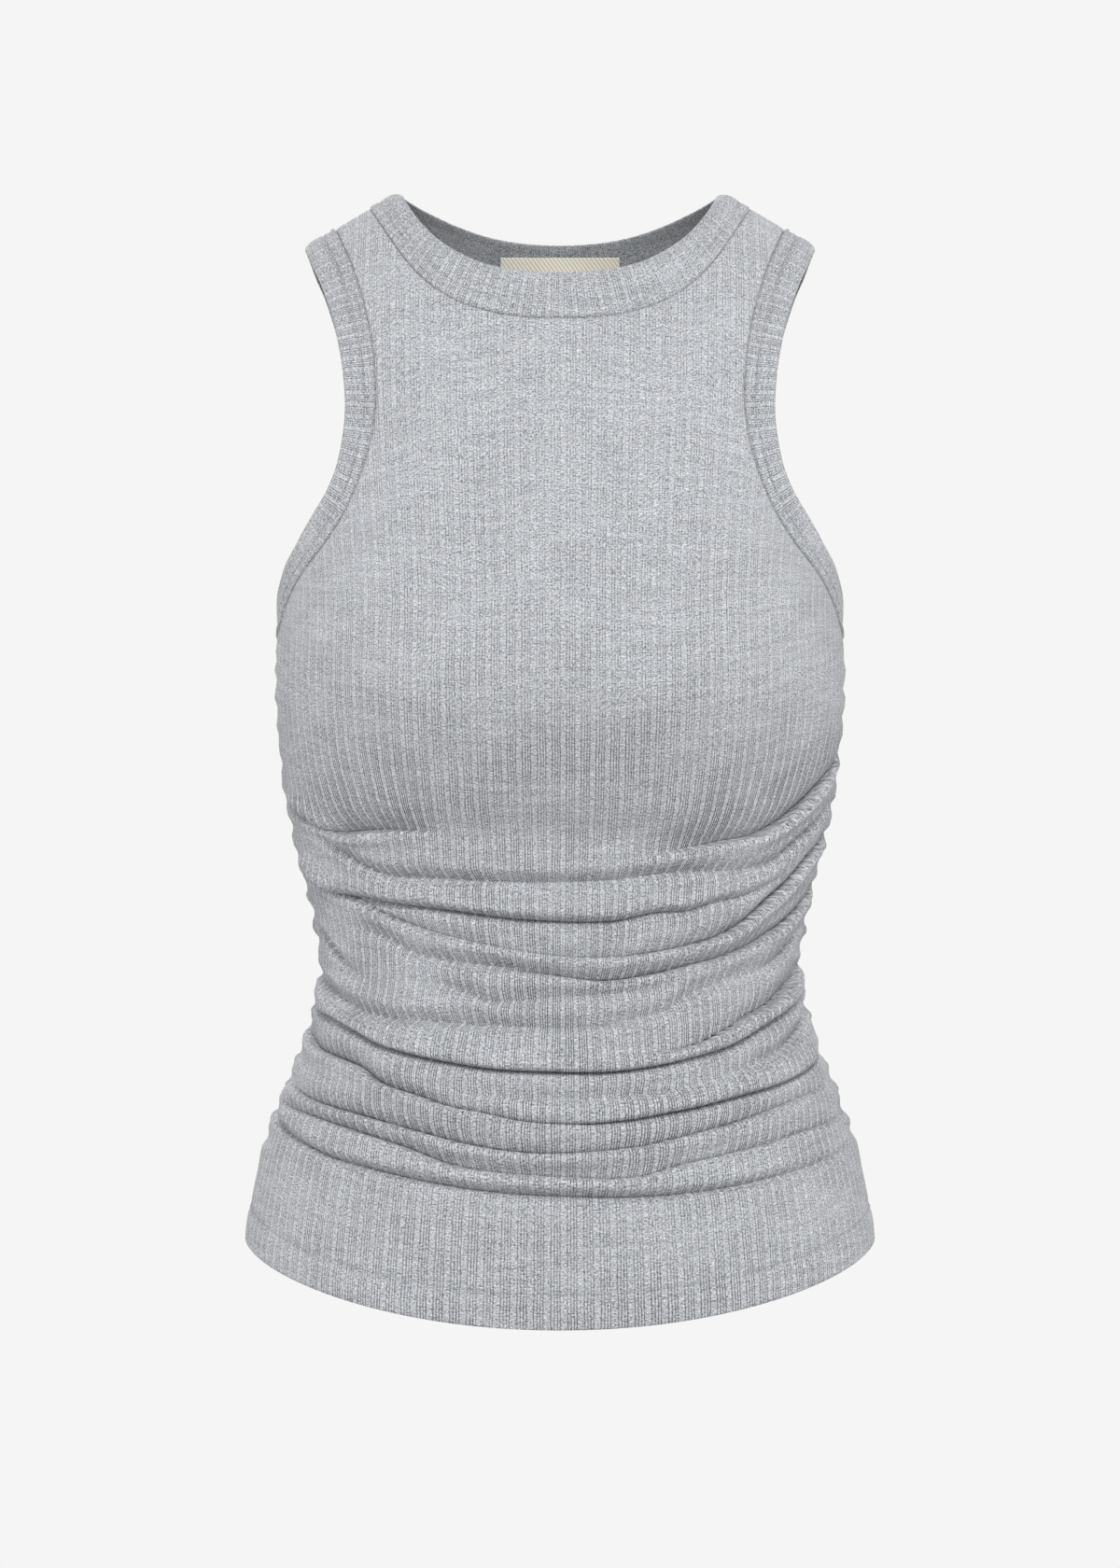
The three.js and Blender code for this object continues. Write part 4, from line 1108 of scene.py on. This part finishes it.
def make_studio():
    """A pale backdrop that also fills the shadows, and the lights."""
    scene = bpy.context.scene
    scene.view_settings.view_transform = "Standard"
    scene.world = bpy.data.worlds.new("studio")
    scene.world.use_nodes = True
    tree = scene.world.node_tree
    backdrop = tree.nodes["Background"]
    backdrop.inputs["Color"].default_value = linear(BACKGROUND)
    to_camera = add_node(tree, "ShaderNodeLightPath", output="Is Camera Ray")
    level = add_node(tree, "ShaderNodeMapRange", {"Value": to_camera, "To Min": FILL_LEVEL, "To Max": 1.0})
    tree.links.new(level, backdrop.inputs["Strength"])
    for light in LIGHTS:
        area_light(*light)


def make_floor():
    deselect()
    bpy.ops.mesh.primitive_circle_add(vertices=96, radius=FLOOR_RADIUS * MM, fill_type="NGON",
                                      location=(0, 0, FLOOR_HEIGHT * MM))
    floor = bpy.context.object
    floor.name = "floor"
    material, tree = new_material("matt_studio_floor", Roughness=0.95)
    tree.nodes["Principled BSDF"].inputs["Base Color"].default_value = linear(FLOOR_COLOUR)
    floor.data.materials.append(material)


make_camera()
make_studio()
make_floor()

# Right side of the knit, with clear ribs
outer_knit = knit_material("ribbed_heather_jersey_knitted", "#d4d6da", "#676a6f", RIB_GROUP, 0.62, 0.4)
# Wrong side: the same yarn lies flatter there, and its colour is painted darker as shade for the hollow
# inside
inner_knit_painted_shade = knit_material("ribbed_heather_jersey_wrong_side_painted_shade", "#b2b5b8", "#53565a", RIB_GROUP, 0.3, 0.25)
# The same knit folded double and stitched down, which closes its ribs a little
band_knit = knit_material("ribbed_heather_band_folded", "#d4d6da", "#66696e", BAND_RIB_GROUP, 0.6, 0.3)
tape = tape_material()
thread = thread_material()

panel_knits, band_knits = [outer_knit, inner_knit_painted_shade], [band_knit, inner_knit_painted_shade]
front = make_panel("front_panel_knit", FRONT, "front_panel", panel_knits)
back = make_panel("back_panel_knit", BACK, "back_panel", panel_knits)
neck = make_band("neck_band_knit", "neck", "neck_binding", band_knits)
armholes = [
    make_band(f"armhole_band_{name}_knit", "armhole", f"armhole_binding_{name}", band_knits, side)
    for name, side in (("left", 1), ("right", -1))
]
label = make_label(tape)
sew("hem_stitches", [hem_line(panel, up) for panel in (FRONT, BACK) for up in STITCH_ROWS], thread)
sew("neck_stitches", [band_line("neck")], thread)
sew("armhole_stitches", [band_line("armhole", side) for side in (1, -1)], thread)
